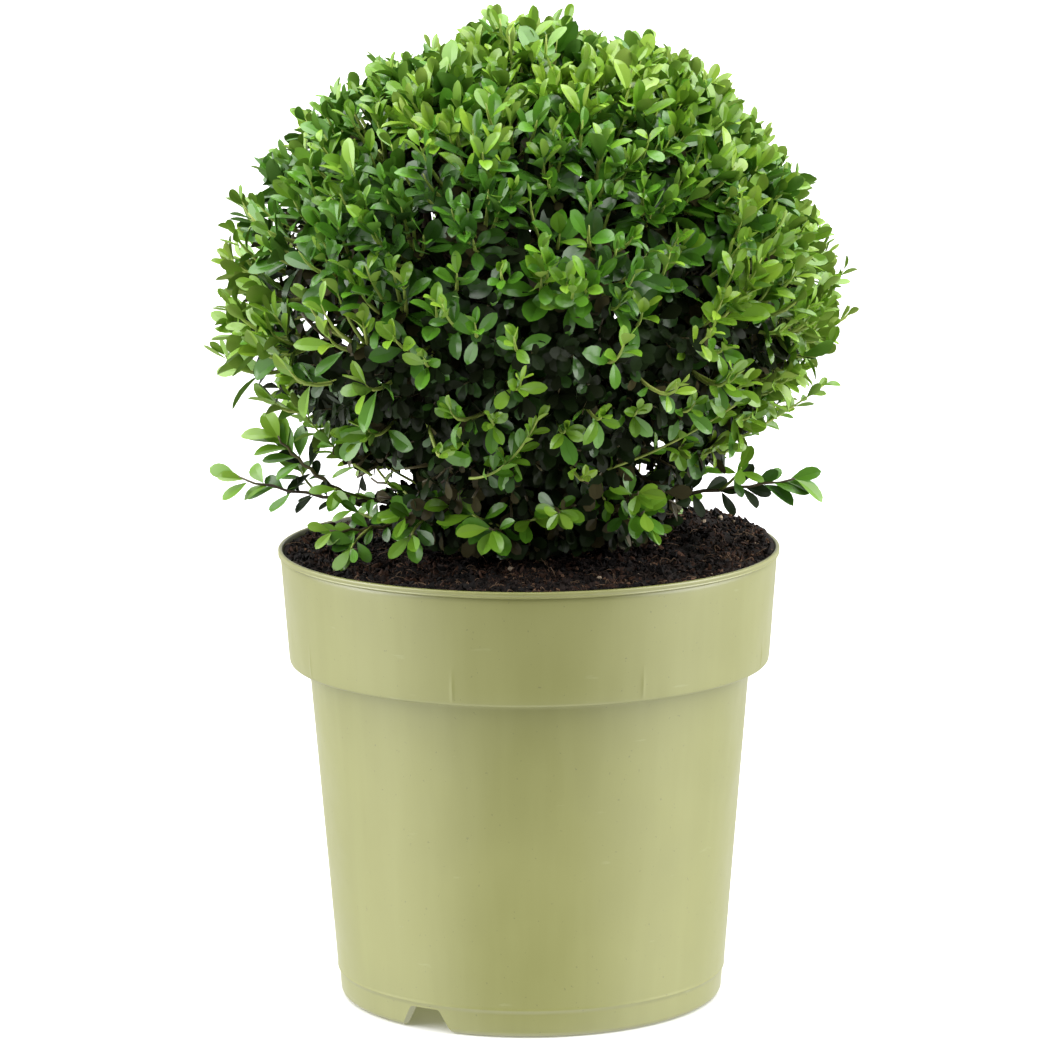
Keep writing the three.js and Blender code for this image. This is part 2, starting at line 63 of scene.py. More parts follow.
# The pot
POT_HEIGHT = 209
WALL = 1.8
PAD_RADIUS = 45
PAD_SLOPE = 4
CHANNEL_HEIGHT = 10
FOOT_INNER = 82.5
FOOT_OUTER = 85.8
FOOT_LINE_RADIUS = 89.6
FOOT_LINE_HEIGHT = 12.6
BODY_TOP_RADIUS = 101.4
BAND_BOTTOM = 156.3
BAND_BOTTOM_RADIUS = 110.2
BAND_TOP_RADIUS = 113.9
LIP_BOTTOM = 205.9
LIP_RADIUS = 115
POT_SIDES = 240
RIDGE_COUNT = 8
RIDGE_FIRST = 252
RIDGE_TALL = 11
RIDGE_WIDE = 0.7
RIDGE_PROUD = 0.38
NOTCH_AZIMUTH = 237
NOTCH_TOP = 15
NOTCH_BOTTOM = 27
NOTCH_HEIGHT = 10.4
NOTCH_ROUND = 2.4

# The soil, with height and size of its clods
SOIL_EDGE = 206
SOIL_RISE = 2
SOIL_MOUND = 3.5
SOIL_MOUND_RADIUS = 62
SOIL_REACH = LIP_RADIUS - 2.3
SOIL_TAPER = 0.97
SOIL_WALL = 207.2
SOIL_WALL_HEAP = 2.6
SOIL_HEAP = 6.5
SOIL_HEAP_AZIMUTH = 38
SOIL_HEAP_WIDE = 42
SOIL_HEAP_RADIUS = 84
SOIL_HEAP_DEEP = 24
SOIL_CLODS = ((1.9, 15), (1.7, 6.5), (0.8, 2.6))
CRUMBS = 13000
PATCH_SIZE = 10
FIBRES = 1100

# The stem and its boughs, as the part has them
TRUNK_HEIGHT = 31
TRUNK_RADIUS = 9
TRUNK_TOP_RADIUS = 7.6
TRUNK_FLARE_RADIUS = 15
TRUNK_FLARE_HEIGHT = 11
TRUNK_LEAN = np.array([-2.2, 1.5, 0.0])
BOUGHS = 6
BOUGH_FIRST = 20
BOUGH_SPREAD = 62
BOUGH_BELOW_FORK = (5, 10)
BOUGH_BOW = (7, -5)
BOUGH_RADII = (4.2, 3.0)
LOW_BOUGH_BOW = (3, -2)
LOW_BOUGH_RADII = (3.1, 2.3)
LOW_FOOT_HEIGHTS = (11.5, 4.5)
LOW_FORK_RADIUS = 32
LOW_FORK_HEIGHT = 230

# The clipped ball
CROWN_CENTRE = np.array([-1.0, 0.0, 320.0])
CROWN_RADIUS = 150
CROWN_RISE = 136.5
CROWN_DROP = 92
CROWN_FULLNESS = 1.85
CROWN_LIMIT = 1.02
LOWEST_SLOPE = -0.72
TOP_LEAN = 6
LEAN_FROM = 412
LEAN_OVER = 32
SPRAY_TOWARDS = np.array([-0.97, -0.05, -0.23])
SPRAY_WIDE = 0.14
SPRAY_OUT = 0.04
LIFT = 0.16

# Generations of twigs inside the ball: how many, how far out they end, how steeply they rise, and the
# points along each
GENERATIONS = ((34, 0.42, 0.4, 8), (120, 0.6, 0.4, 7), (430, 0.71, 0.5, 6))

# The shoots that end on the ball's surface, new and old: how many, how far out they end and the range
# of that, how steeply they rise, how far that shapes them, what the long ones gain and how many these
# are, and the share left out at the far left
SHOOTS = 1320
SHOOT_STEPS = 7
NEW_END, NEW_RANGE = 0.945, 0.02
OLD_END, OLD_RANGE = 0.85, 0.05
NEW_RISE, OLD_RISE = 2.2, 0.5
NEW_LEAD, OLD_LEAD = 0.9, 0.5
LONG_EXTRA, LONG_SHARE = 0.08, 0.25
LOOSE_LEFT = 0.56

# The share of shoots that carry new growth: at the foot, and what it gains up to the top, at the sides,
# to the right and low at the left
FRESH_FOOT = 0.13
FRESH_CLIMB = 0.89
FRESH_SIDES = 0.6
FRESH_RIGHT = 0.2
FRESH_LOW_LEFT = 0.06

# The dark skirt between the soil and the ball
SKIRT_TWIGS = 560
SKIRT_HEIGHTS = (215, 270)

# Loose shoots low on the plant: azimuth, reach and height of the tip, sag of the stem, side twigs,
# and the share of the leafy stem that carries old leaves
LOW_SHOOTS = {
    "right": (354, 134, 247, 2, 2, 0.62),
    "right_back": (32, 104, 240, 5, 4, 0.4),
    "back_right": (68, 110, 234, 5, 4, 0.4),
    "back_left": (106, 108, 240, 5, 4, 0.4),
    "left_back": (142, 106, 236, 5, 4, 0.4),
    "left": (175, 146, 245, 10, 2, 0.5),
    "left_low": (204, 110, 229, 5, 3, 0.3),
    "front_left": (234, 96, 240, 5, 3, 0.55),
    "front": (270, 94, 237, 5, 2, 0.55),
    "front_right": (308, 102, 243, 5, 3, 0.5),
}

# How far round the tips of some low shoots swing from the azimuth of their bough
SWINGS = {"front_left": -7, "front": -12, "front_right": -3}

# Leaves of some low shoots against the usual size
LOW_LEAF_SIZES = {"left": 1.3, "right": 1.6}

# Forks of the low shoots: a shoot's name, the fork's swing from it, and radius and height of the
# fork's root, bend and tip
LOW_FORKS = [
    ("left", -4, (78, 226), (103, 240), (117, 257)),
    ("front", 9, (56, 230), (76, 243), (86, 239)),
    ("front_right", -4, (62, 230), (74, 240), (88, 246)),
    ("back_left", -4, (66, 230), (84, 236), (104, 250)),
]
FORK_OLD_SHARE = 0.25
LOW_STEPS = 14

# Long new shoots that rise across the foot of the ball, from and to
LONG_SHOOTS = np.array(
    [
        [(20, -72, 252), (92, -88, 288)],
        [(70, -40, 254), (133, -26, 286)],
        [(-70, -48, 250), (-106, -40, 284)],
        [(-26, -92, 256), (4, -118, 286)],
        [(62, 78, 254), (30, 118, 286)],
        [(-56, 80, 254), (-96, 76, 284)],
    ],
    dtype=float,
)

# Where most of the daylight came from while the plant grew, which the loose leaves turn to
DAYLIGHT = np.array([0.0, -0.75, 0.65])

# A leaf's outline as shares of its length and of its greatest width, and a plainer one
LEAF_STATIONS = np.array([0.09, 0.24, 0.42, 0.61, 0.79, 0.92])
LEAF_WIDTHS = np.array([0.08, 0.42, 0.80, 1.00, 0.90, 0.58])
SMALL_STATIONS = np.array([0.28, 0.62, 0.88])
SMALL_WIDTHS = np.array([0.52, 1.00, 0.70])
LEAF_THICKNESS = 0.024

# How leaves stand: lengths and angles to the twig at the first and last leaf, width against length,
# fold and bend of the blade, how far blades turn to the sky and to the daylight, how far leaves spread
# across the daylight, and how far they hang
LeafHabit = namedtuple("LeafHabit", "lengths opens width fold bend sky daylight spread droop")
FRESH = LeafHabit((18.0, 10.0), (55, 18), 0.42, 0.34, -0.26, 0.25, 0.0, 0.0, 0.0)
LOOSE = LeafHabit((11.0, 12.5), (70, 32), 0.46, 0.22, -0.2, 0.3, 1.6, 0.75, 0.05)
OLD = LeafHabit((10.5, 9.5), (76, 46), 0.57, 0.08, -0.4, 0.4, 0.0, 0.0, 0.35)
INNER = OLD._replace(lengths=(13.0, 12.0))
LONG = FRESH._replace(lengths=(12.0, 10.0), daylight=0.4)

# Tints of the leaves' upper side and underside
LEAF_TINTS = {
    "tip": ((127, 167, 50), (141, 171, 72)),
    "tip_warm": ((137, 172, 52), (147, 173, 75)),
    "young": ((108, 153, 40), (121, 158, 62)),
    "young_warm": ((117, 159, 42), (129, 162, 63)),
    "mid": ((89, 142, 36), (105, 148, 55)),
    "mid_cool": ((76, 127, 33), (93, 135, 52)),
    "deep": ((61, 106, 29), (80, 118, 46)),
    "deep_cool": ((53, 88, 33), (72, 105, 48)),
    "old": ((32, 46, 21), (47, 59, 31)),
    "old_dark": ((28, 35, 18), (38, 43, 26)),
    "dry": ((68, 64, 40), (74, 66, 44)),
}

# Roughness and specular level of dull leaves, bright ones and undersides
DULL = ("old", "old_dark", "dry")
DULL_GLOSS = (0.34, 0.08)
LEAF_GLOSS = (0.27, 0.55)
UNDER_GLOSS = (0.55, 0.25)

# Tints of the ball's new leaves from the dullest to the brightest, by vigour and painted light, on
# usual sprays and on warm ones, and the ages between them
CROWN_TINTS = np.array(
    [
        ("deep_cool", "deep"),
        ("mid_cool", "deep"),
        ("mid", "mid_cool"),
        ("young", "young_warm"),
        ("tip", "tip_warm"),
    ]
)
CROWN_AGES = [0.1, 0.44, 0.86, 1.22]

# Tints of the low shoots' leaves from old to new, and the ages between them
LOW_TINTS = np.array(["old", "deep", "mid", "young", "tip"])
LOW_AGES = [-0.08, 0.05, 0.3, 0.56]

# How the old leaves share out among the dark tints: on the ball, inside it and under it
OUTER_DARK = {"deep_cool": 0.07, "old": 0.48, "old_dark": 0.45}
INNER_DARK = {"deep_cool": 0.22, "old": 0.25, "old_dark": 0.13, "dry": 0.4}
SKIRT_DARK = {"deep_cool": 0.08, "old": 0.36, "old_dark": 0.3, "dry": 0.26}

# Openings between the sprays where the photograph shows sky: across, height and half size
SKY = [
    (-73, 405, 1.6), (-67, 389, 1.4), (-46, 361, 1.8), (-101, 313, 1.2), (-95, 306, 1.0),
    (-89, 313, 1.0), (-84, 304, 1.4), (-79, 310, 0.8), (-68, 285, 1.3), (-51, 277, 1.4),
    (38, 284, 1.6), (54, 268, 2.2), (60, 255, 2.5), (53, 244, 2.4), (79, 286, 1.6),
    (-57, 241, 2.5), (-69, 241, 2.8), (-84, 239, 3.5),
]

# Softboxes: where they stand, their brightness, and how many degrees of the view they fill
SOFTBOXES = {
    "softbox_left": ((-1.0, -0.08, 0.5), 1.07, 60),
    "softbox_right": ((1.0, -0.08, 0.5), 1.1, 60),
    "softbox_top": ((0.0, 0.12, 1.0), 1.16, 70),
}

# A low strip of light in front of the pot, in metres, degrees and watts
GLOW_SIZE = (0.5, 0.06)
GLOW_PLACE = (0, -0.25, 0.034)
GLOW_TILT = 93
GLOW_POWER = 0.24

# Bright panels at the sides of the room, as place from front to back and brightness
PANELS = [(0.05, 0.0), (0.2, 1.0), (0.4, 1.0), (0.56, 0.6), (0.72, 0.0)]
PANEL_GLOW = 0.9

FLOOR_HALF = 9000
FLOOR_DROP = -0.3


def srgb(red, green, blue):
    """A colour as seen on a screen, 0 to 255, as the linear values that shaders take."""
    shares = np.array([red, green, blue]) / 255
    linear = np.where(shares <= 0.04045, shares / 12.92, ((shares + 0.055) / 1.055) ** 2.4)
    return (*linear, 1.0)


def unit(vectors):
    return vectors / np.linalg.norm(vectors, axis=-1, keepdims=True)


def around(azimuth, radius, height):
    """A point by azimuth in degrees, distance from the axis, and height."""
    turn = np.radians(azimuth)
    return np.stack(np.broadcast_arrays(radius * np.cos(turn), radius * np.sin(turn), height), -1)


def lerp(start, end, share):
    return start + (end - start) * share


def share_of(value, start, over, least=0.0):
    """How far a value has gone from start, as a share of the way over, between least and one."""
    return np.clip((value - start) / over, least, 1)


def eased(share):
    return share * share * (3 - 2 * share)


def smooth_noise(places):
    """Smooth noise at places, with features of about one."""
    return np.array([noise.noise(Vector(place)) for place in places])


# Meshes


def add_mesh(name, points, face_groups, materials, face_slots=None, creases=None, smooth=True):
    """A mesh object from points in millimetres and groups of faces, each of one corner count.

    creases numbers the points on a leaf's outline and on its midrib, and an edge between two points
    of the same number is sharp.
    """
    mesh = bpy.data.meshes.new(name)
    faces = [face for group in face_groups for face in np.asarray(group).tolist()]
    mesh.from_pydata(np.asarray(points) * MM, [], faces, shade_flat=not smooth)
    for material in materials:
        mesh.materials.append(material)
    if face_slots is not None:
        mesh.polygons.foreach_set("material_index", np.asarray(face_slots, dtype=np.int32))
    if creases is not None:
        ends = np.empty(2 * len(mesh.edges), dtype=np.int32)
        mesh.edges.foreach_get("vertices", ends)
        first, second = np.asarray(creases)[ends].reshape(-1, 2).T
        sharp = (first == second) & (first > 0)
        mesh.attributes.new("sharp_edge", "BOOLEAN", "EDGE").data.foreach_set("value", sharp)
    piece = bpy.data.objects.new(name, mesh)
    bpy.context.collection.objects.link(piece)
    return piece


def settle(piece, slot, *nodes):
    """Ties a piece to the plant's body and hides the nodes that it stands for. The material slot is not
    used.
    """
    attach(piece, "root")
    if nodes:
        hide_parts(*nodes)


def add_piece(name, points, groups, material, slot, *nodes, smooth=True):
    """A piece of one material, tied to the plant."""
    settle(add_mesh(name, points, groups, [material], smooth=smooth), slot, *nodes)


def ring_quads(rings, sides):
    """Quads between rings of points that follow each other, and a flat face on both ends."""
    low = np.arange(rings - 1)[:, None] * sides + np.arange(sides)[None, :]
    turned = np.arange(rings - 1)[:, None] * sides + (np.arange(sides)[None, :] + 1) % sides
    quads = np.stack([low, turned, turned + sides, low + sides], -1).reshape(-1, 4)
    first = np.arange(sides)[::-1][None, :]
    last = (rings - 1) * sides + np.arange(sides)[None, :]
    return [quads, np.concatenate([first, last])]


def repeated(faces, count, corners):
    """A group of faces repeated for so many copies of a form with so many corners."""
    offsets = (np.arange(count) * corners)[:, None, None]
    return (faces[None] + offsets).reshape(-1, faces.shape[1])


def joined(parts):
    """Points and faces of several parts as one."""
    offset, points, groups = 0, [], []
    for part_points, part_groups in parts:
        groups += [np.asarray(group) + offset for group in part_groups]
        points.append(part_points)
        offset += len(part_points)
    return np.concatenate(points), groups


def frames_along(paths):
    """Directions along paths of shape (count, steps, 3), and two directions across each."""
    along = unit(np.gradient(paths, axis=1))
    flat = np.abs(along[..., 2:]) < 0.9
    reference = np.where(flat, UP, np.array([1.0, 0.0, 0.0]))
    side = unit(np.cross(reference, along))
    return along, side, np.cross(along, side)


def tubes(paths, radii, sides):
    """Points and faces of twigs along paths, with a radius at each step."""
    count, steps, _ = paths.shape
    _, side, other = frames_along(paths)
    turns = 2 * np.pi * np.arange(sides) / sides
    spokes = side[:, :, None] * np.cos(turns)[:, None] + other[:, :, None] * np.sin(turns)[:, None]
    points = paths[:, :, None] + spokes * np.broadcast_to(radii, (count, steps))[:, :, None, None]
    groups = [repeated(group, count, steps * sides) for group in ring_quads(steps, sides)]
    return points.reshape(-1, 3), groups


def tapered(paths, thick, thin, sides):
    """Points and faces of twigs along paths that taper from one radius to another."""
    return tubes(paths, np.linspace(thick, thin, paths.shape[1]), sides)


def bends(start, middle, end, steps):
    """Smooth bends from start to end that head for middle first, as paths of so many points."""
    share = np.linspace(0, 1, steps)[None, :, None]
    start, middle, end = (np.atleast_2d(point)[:, None] for point in (start, middle, end))
    return start * (1 - share) ** 2 + 2 * middle * share * (1 - share) + end * share**2


# Materials


def new_material(name):
    """An empty material: itself, its node tree and its shader."""
    material = bpy.data.materials.new(name)
    material.use_nodes = True
    tree = material.node_tree
    return material, tree, tree.nodes["Principled BSDF"]


def feed(tree, socket, value):
    """Links a socket to a node's output, or sets it to a value."""
    if isinstance(value, bpy.types.NodeSocket):
        tree.links.new(value, socket)
    else:
        socket.default_value = value


def add_node(tree, kind, inputs=None, **settings):
    """A shader node with its settings, and its inputs set or linked by name or number."""
    node = tree.nodes.new(kind)
    for name, value in settings.items():
        setattr(node, name, value)
    for name, value in (inputs or {}).items():
        feed(tree, node.inputs[name], value)
    return node


def noise_field(tree, size, detail=3.0, stretch=(1, 1, 1)):
    """A noise whose features are about so many millimetres across, stretched along each axis."""
    place = add_node(tree, "ShaderNodeTexCoord").outputs["Object"]
    scale = tuple(1 / amount for amount in stretch)
    mapped = add_node(tree, "ShaderNodeMapping", {"Vector": place, "Scale": scale})
    inputs = {"Vector": mapped.outputs["Vector"], "Scale": 1 / (size * MM), "Detail": detail}
    return add_node(tree, "ShaderNodeTexNoise", inputs).outputs["Fac"]


def ramp(tree, factor, *stops):
    """A colour ramp from pairs of place and colour."""
    node = add_node(tree, "ShaderNodeValToRGB", {"Fac": factor})
    elements = node.color_ramp.elements
    while len(elements) < len(stops):
        elements.new(0.5)
    for element, (place, colour) in zip(elements, stops):
        element.position = place
        element.color = colour
    return node.outputs["Color"]


def mixed(tree, factor, first, second):
    """Two colours mixed by a factor."""
    inputs = {0: factor, 6: first, 7: second}
    return add_node(tree, "ShaderNodeMix", inputs, data_type="RGBA").outputs[2]


def grey_range(tree, factor, low, high, start=0.3, end=0.7):
    """A factor between start and end, spread over low to high."""
    inputs = {"Value": factor, "From Min": start, "From Max": end, "To Min": low, "To Max": high}
    return add_node(tree, "ShaderNodeMapRange", inputs).outputs["Result"]


def reckon(tree, operation, first, second):
    """Two values put together by an operation."""
    inputs = {0: first, 1: second}
    return add_node(tree, "ShaderNodeMath", inputs, operation=operation).outputs[0]


def dress(tree, shader, colour, roughness, specular=0.5):
    """Sets or links a shader's colour and roughness, and sets its specular level."""
    feed(tree, shader.inputs["Base Color"], colour)
    feed(tree, shader.inputs["Roughness"], roughness)
    shader.inputs["Specular IOR Level"].default_value = specular


def bump(tree, shader, height, depth, strength=1.0):
    """Relief of so many millimetres from a height field."""
    inputs = {"Height": height, "Distance": depth * MM, "Strength": strength}
    node = add_node(tree, "ShaderNodeBump", inputs)
    tree.links.new(node.outputs["Normal"], shader.inputs["Normal"])


def pot_plastic():
    """Pale green moulded plastic: faintly mottled and streaked, with specks and rubbed marks."""
    material, tree, shader = new_material("pot_plastic")
    mottle = noise_field(tree, 46, 4)
    streaks = noise_field(tree, 9, 3, (1, 1, 14))
    body = ramp(tree, mottle, (0.35, srgb(132, 133, 73)), (0.62, srgb(136, 137, 77)))
    body = mixed(tree, grey_range(tree, streaks, 0, 0.35, 0.45, 0.75), body, srgb(144, 145, 87))
    specks = grey_range(tree, noise_field(tree, 1.6, 1), 0, 0.45, 0.745, 0.775)
    body = mixed(tree, specks, body, srgb(90, 88, 54))
    rubs = grey_range(tree, noise_field(tree, 7, 5, (3, 3, 0.6)), 0, 0.3, 0.7, 0.78)
    body = mixed(tree, rubs, body, srgb(172, 173, 136))
    dress(tree, shader, body, grey_range(tree, noise_field(tree, 22, 4), 0.32, 0.42), 1.0)
    bump(tree, shader, noise_field(tree, 30, 2, (1, 1, 3)), 0.3, 0.5)
    return material


def soil_surface():
    """Dark moist compost with browner and blacker patches."""
    material, tree, shader = new_material("soil_surface")
    stops = ((0.3, srgb(12, 8, 7)), (0.5, srgb(25, 17, 13)), (0.68, srgb(45, 30, 22)))
    dress(tree, shader, ramp(tree, noise_field(tree, 9, 6), *stops), 0.85, 0.3)
    bump(tree, shader, noise_field(tree, 1.6, 6), 1.4)
    return material


def plain(name, colour, roughness, specular):
    """One of a set of tints that are dealt out piece by piece."""
    material, tree, shader = new_material(name)
    dress(tree, shader, colour, roughness, specular)
    return material


def bark():
    """Grey-brown bark with paler flakes and darker cracks along the limb."""
    material, tree, shader = new_material("bark")
    flakes = noise_field(tree, 5, 5, (1, 1, 2.6))
    stops = ((0.3, srgb(48, 36, 28)), (0.5, srgb(94, 76, 60)), (0.7, srgb(138, 120, 98)))
    dress(tree, shader, ramp(tree, flakes, *stops), grey_range(tree, flakes, 0.95, 0.7))
    bump(tree, shader, noise_field(tree, 2, 6, (1, 1, 2)), 0.9)
    return material


def green_stem(name, young, older):
    """Smooth skin of a growing twig, turning from one tint to another in patches."""
    material, tree, shader = new_material(name)
    patches = noise_field(tree, 14, 3)
    dress(tree, shader, ramp(tree, patches, (0.38, young), (0.62, older)), 0.5)
    return material


# The pot


def arc(centre, radius, start, end, steps):
    """Radius and height pairs along an arc."""
    turns = np.radians(np.linspace(start, end, steps))
    return [(centre[0] + radius * math.cos(t), centre[1] + radius * math.sin(t)) for t in turns]


def body_radius(height):
    share = (height - FOOT_LINE_HEIGHT) / (BAND_BOTTOM - FOOT_LINE_HEIGHT)
    return lerp(FOOT_LINE_RADIUS, BODY_TOP_RADIUS, share)


def band_radius(height):
    share = (height - BAND_BOTTOM) / (LIP_BOTTOM - BAND_BOTTOM)
    return lerp(BAND_BOTTOM_RADIUS, BAND_TOP_RADIUS, share)


def pot_profile():
    """The pot's section as radius and height pairs, from the pad out, up, over the lip and back."""
    fillet = 1.6
    edge_round = 1.5
    lip_round = 0.8
    lip_wall = 1.4
    inner_round = 0.6
    foot_line = [(-0.75, -2), (-0.55, -0.7), (0.1, -0.1), (0.2, 0.4), (0.05, 0.9)]
    groove = [(-0.3, -0.5), (-0.5, -0.1), (-0.4, 0.15)]
    lip_face = [(0.7, 0.3), (1.05, 0.6), (0.8, 1.1), (1.08, 1.8)]
    floor_top = CHANNEL_HEIGHT + 2
    inner_step = BAND_BOTTOM + WALL
    body_levels = np.linspace(FOOT_LINE_HEIGHT + 1.5, BAND_BOTTOM - 3, 16)
    band_levels = np.linspace(BAND_BOTTOM + 3, LIP_BOTTOM - 2, 10)
    inner_levels = np.linspace(LIP_BOTTOM - 1, inner_step, 5)
    return [
        (PAD_RADIUS - PAD_SLOPE, 0),
        (PAD_RADIUS, CHANNEL_HEIGHT),
        (FOOT_INNER - 1, CHANNEL_HEIGHT),
        (FOOT_INNER, CHANNEL_HEIGHT - 1),
        (FOOT_INNER, 0.6),
        (FOOT_INNER + 0.6, 0),
        *arc((FOOT_OUTER - 0.6, 3), 3, -90, -10, 6),
        *[(FOOT_LINE_RADIUS + out, FOOT_LINE_HEIGHT + up) for out, up in foot_line],
        *[(body_radius(height), height) for height in body_levels],
        (BODY_TOP_RADIUS - 0.1, BAND_BOTTOM - fillet),
        *arc((BODY_TOP_RADIUS + fillet, BAND_BOTTOM - fillet), fillet, 165, 90, 5),
        *arc((BAND_BOTTOM_RADIUS - edge_round, BAND_BOTTOM + edge_round), edge_round, -90, 0, 6),
        *[(band_radius(height), height) for height in band_levels],
        *[(BAND_TOP_RADIUS + out, LIP_BOTTOM + up) for out, up in groove + lip_face],
        *arc((LIP_RADIUS - lip_round, POT_HEIGHT - lip_round), lip_round, 0, 90, 6),
        *arc((LIP_RADIUS - lip_wall, POT_HEIGHT - inner_round), inner_round, 90, 180, 4),
        *[(band_radius(height) - WALL, height) for height in inner_levels],
        (body_radius(inner_step) - WALL, inner_step - 0.4),
        *[(body_radius(height) - WALL, height) for height in np.linspace(140, floor_top + 2, 5)],
        (body_radius(floor_top) - WALL - 2, floor_top),
        (PAD_RADIUS - 2, floor_top),
        (PAD_RADIUS - PAD_SLOPE - 2, 2),
    ]


def ridge_height(azimuth, height):
    """How far the wall stands out at the small moulded ridges low on the band."""
    step = 360 / RIDGE_COUNT
    off = (azimuth - RIDGE_FIRST + step / 2) % step - step / 2
    across = np.radians(off) * band_radius(height) / RIDGE_WIDE
    start = BAND_BOTTOM + 2
    level = share_of(height, start, 2) * share_of(height, start + RIDGE_TALL, -4)
    return RIDGE_PROUD * np.exp(-(across**2)) * level


def pot_columns():
    """Azimuths of the wall's columns: even ones, and close ones on each ridge."""
    even = np.arange(POT_SIDES) * 360 / POT_SIDES
    ridges = RIDGE_FIRST + 360 * np.arange(RIDGE_COUNT) / RIDGE_COUNT
    close = ridges[:, None] + np.array([-0.9, -0.45, -0.2, 0, 0.2, 0.45, 0.9])
    return np.unique(np.round(np.concatenate([even, np.mod(close.ravel(), 360)]), 3))


def notch_cutter(azimuth):
    """A prism through the foot ring, with rounded shoulders and sides that spread to the ground."""
    below = 3
    ends = (FOOT_INNER - 5, FOOT_LINE_RADIUS + 6)
    flare = (NOTCH_BOTTOM - NOTCH_TOP) / 2 / NOTCH_HEIGHT
    slant = math.degrees(math.atan(flare))
    shoulder = (NOTCH_TOP / 2 - NOTCH_ROUND * 0.55, NOTCH_HEIGHT - NOTCH_ROUND)
    half = arc(shoulder, NOTCH_ROUND, slant, 90, 5)
    foot = (NOTCH_BOTTOM / 2 + flare * below, -below)
    outline = [foot, *half, *[(-y, z) for y, z in reversed(half)], (-foot[0], foot[1])]
    points = np.array([(x, y, z) for x in ends for y, z in outline])
    cutter = add_mesh("notch_cutter", points, ring_quads(2, len(outline)), [])
    cutter.matrix_world = Matrix.Rotation(math.radians(azimuth), 4, "Z")
    return cutter


def make_pot():
    profile = np.array(pot_profile())
    columns = pot_columns()
    radius, height = profile[:, :1], profile[:, 1:]
    outside = np.arange(len(profile))[:, None] < height.argmax()
    on_band = outside & (radius > BAND_BOTTOM_RADIUS - 1)
    raised = radius + np.where(on_band, ridge_height(columns, height), 0)
    points = around(columns[None, :], raised, height).reshape(-1, 3)
    piece = add_mesh("pot_shell", points, ring_quads(len(profile), len(columns)), [pot_plastic()])
    for azimuth in (NOTCH_AZIMUTH, NOTCH_AZIMUTH + 180):
        cutter = notch_cutter(azimuth)
        cut = piece.modifiers.new("notch", "BOOLEAN")
        cut.operation = "DIFFERENCE"
        cut.solver = "EXACT"
        cut.object = cutter
        notched = piece.evaluated_get(bpy.context.evaluated_depsgraph_get())
        whole = bpy.data.meshes.new_from_object(notched)
        piece.modifiers.clear()
        piece.data = whole
        bpy.data.objects.remove(cutter)
    piece.data.set_sharp_from_angle(angle=math.radians(40))
    settle(piece, "pot_plastic", "pot")


# The soil


def soil_height(x, y):
    heap = SOIL_MOUND * np.exp(-(np.hypot(x, y) ** 2) / SOIL_MOUND_RADIUS**2)
    return SOIL_EDGE + SOIL_RISE * x / BAND_TOP_RADIUS + heap


def lumpy(x, y, size):
    """Smooth noise over the soil, with features of so many millimetres."""
    places = [np.ravel(x) / size, np.ravel(y) / size, np.full(np.size(x), 0.37)]
    return smooth_noise(np.stack(places, -1)).reshape(np.shape(x))


def soil_top(x, y):
    """The rough surface: clods and hollows, raised at the wall and heaped at the back right."""
    azimuth = np.degrees(np.arctan2(y, x))
    distance = np.hypot(x, y)
    near_wall = share_of(distance, 90, 18)
    heaped = np.exp(-(((azimuth - SOIL_HEAP_AZIMUTH) / SOIL_HEAP_WIDE) ** 2))
    at_wall = SOIL_WALL + SOIL_WALL_HEAP * heaped
    level = lerp(soil_height(x, y), at_wall, eased(near_wall))
    ring = np.exp(-(((distance - SOIL_HEAP_RADIUS) / SOIL_HEAP_DEEP) ** 2))
    rough = sum(height * lumpy(x, y, size) for height, size in SOIL_CLODS)
    return level + SOIL_HEAP * heaped * ring + rough * (1 - 0.5 * near_wall)


def make_soil():
    rings, sides = 72, 210
    radius = np.linspace(1.5, SOIL_REACH, rings)[::-1]
    azimuth = np.arange(sides) * 360 / sides
    top = around(azimuth[None, :], radius[:, None], 0)
    top[..., 2] = soil_top(top[..., 0], top[..., 1])
    wall = top[:1] * SOIL_TAPER
    wall[..., 2] = BAND_BOTTOM + 4
    points = np.concatenate([wall, top]).reshape(-1, 3)
    add_piece("soil_bed", points, ring_quads(rings + 1, sides), soil_surface(), "soil", "soil")
    make_crumbs()


def icosahedron():
    """Corners and faces of a regular twenty-faced lump."""
    golden = (1 + math.sqrt(5)) / 2
    over_edge = 2.01
    flat = [(a, b * golden, 0) for a in (-1, 1) for b in (-1, 1)]
    corners = np.array(flat + [(0, a, b) for a, b, _ in flat] + [(b, 0, a) for a, b, _ in flat])
    near = np.linalg.norm(corners[:, None] - corners[None], axis=-1) < over_edge
    faces = []
    for a, b, c in combinations(range(12), 3):
        if near[a, b] and near[b, c] and near[a, c]:
            turn = np.cross(corners[b] - corners[a], corners[c] - corners[a]) @ corners[a]
            faces.append((a, b, c) if turn > 0 else (a, c, b))
    return unit(corners), np.array(faces)


def octahedron():
    """Corners and faces of an eight-faced lump."""
    corners = np.concatenate([np.eye(3), -np.eye(3)])
    top = [(0, 1, 2), (1, 3, 2), (3, 4, 2), (4, 0, 2)]
    return corners, np.array(top + [(b, a, 5) for a, b, _ in top])


def scatter_on_soil(count, reach):
    """Places on the soil, evenly over its disc."""
    radius = reach * np.sqrt(rng.random(count))
    azimuth = 360 * rng.random(count)
    places = around(azimuth, radius, 0)
    places[:, 2] = soil_top(places[:, 0], places[:, 1])
    return places


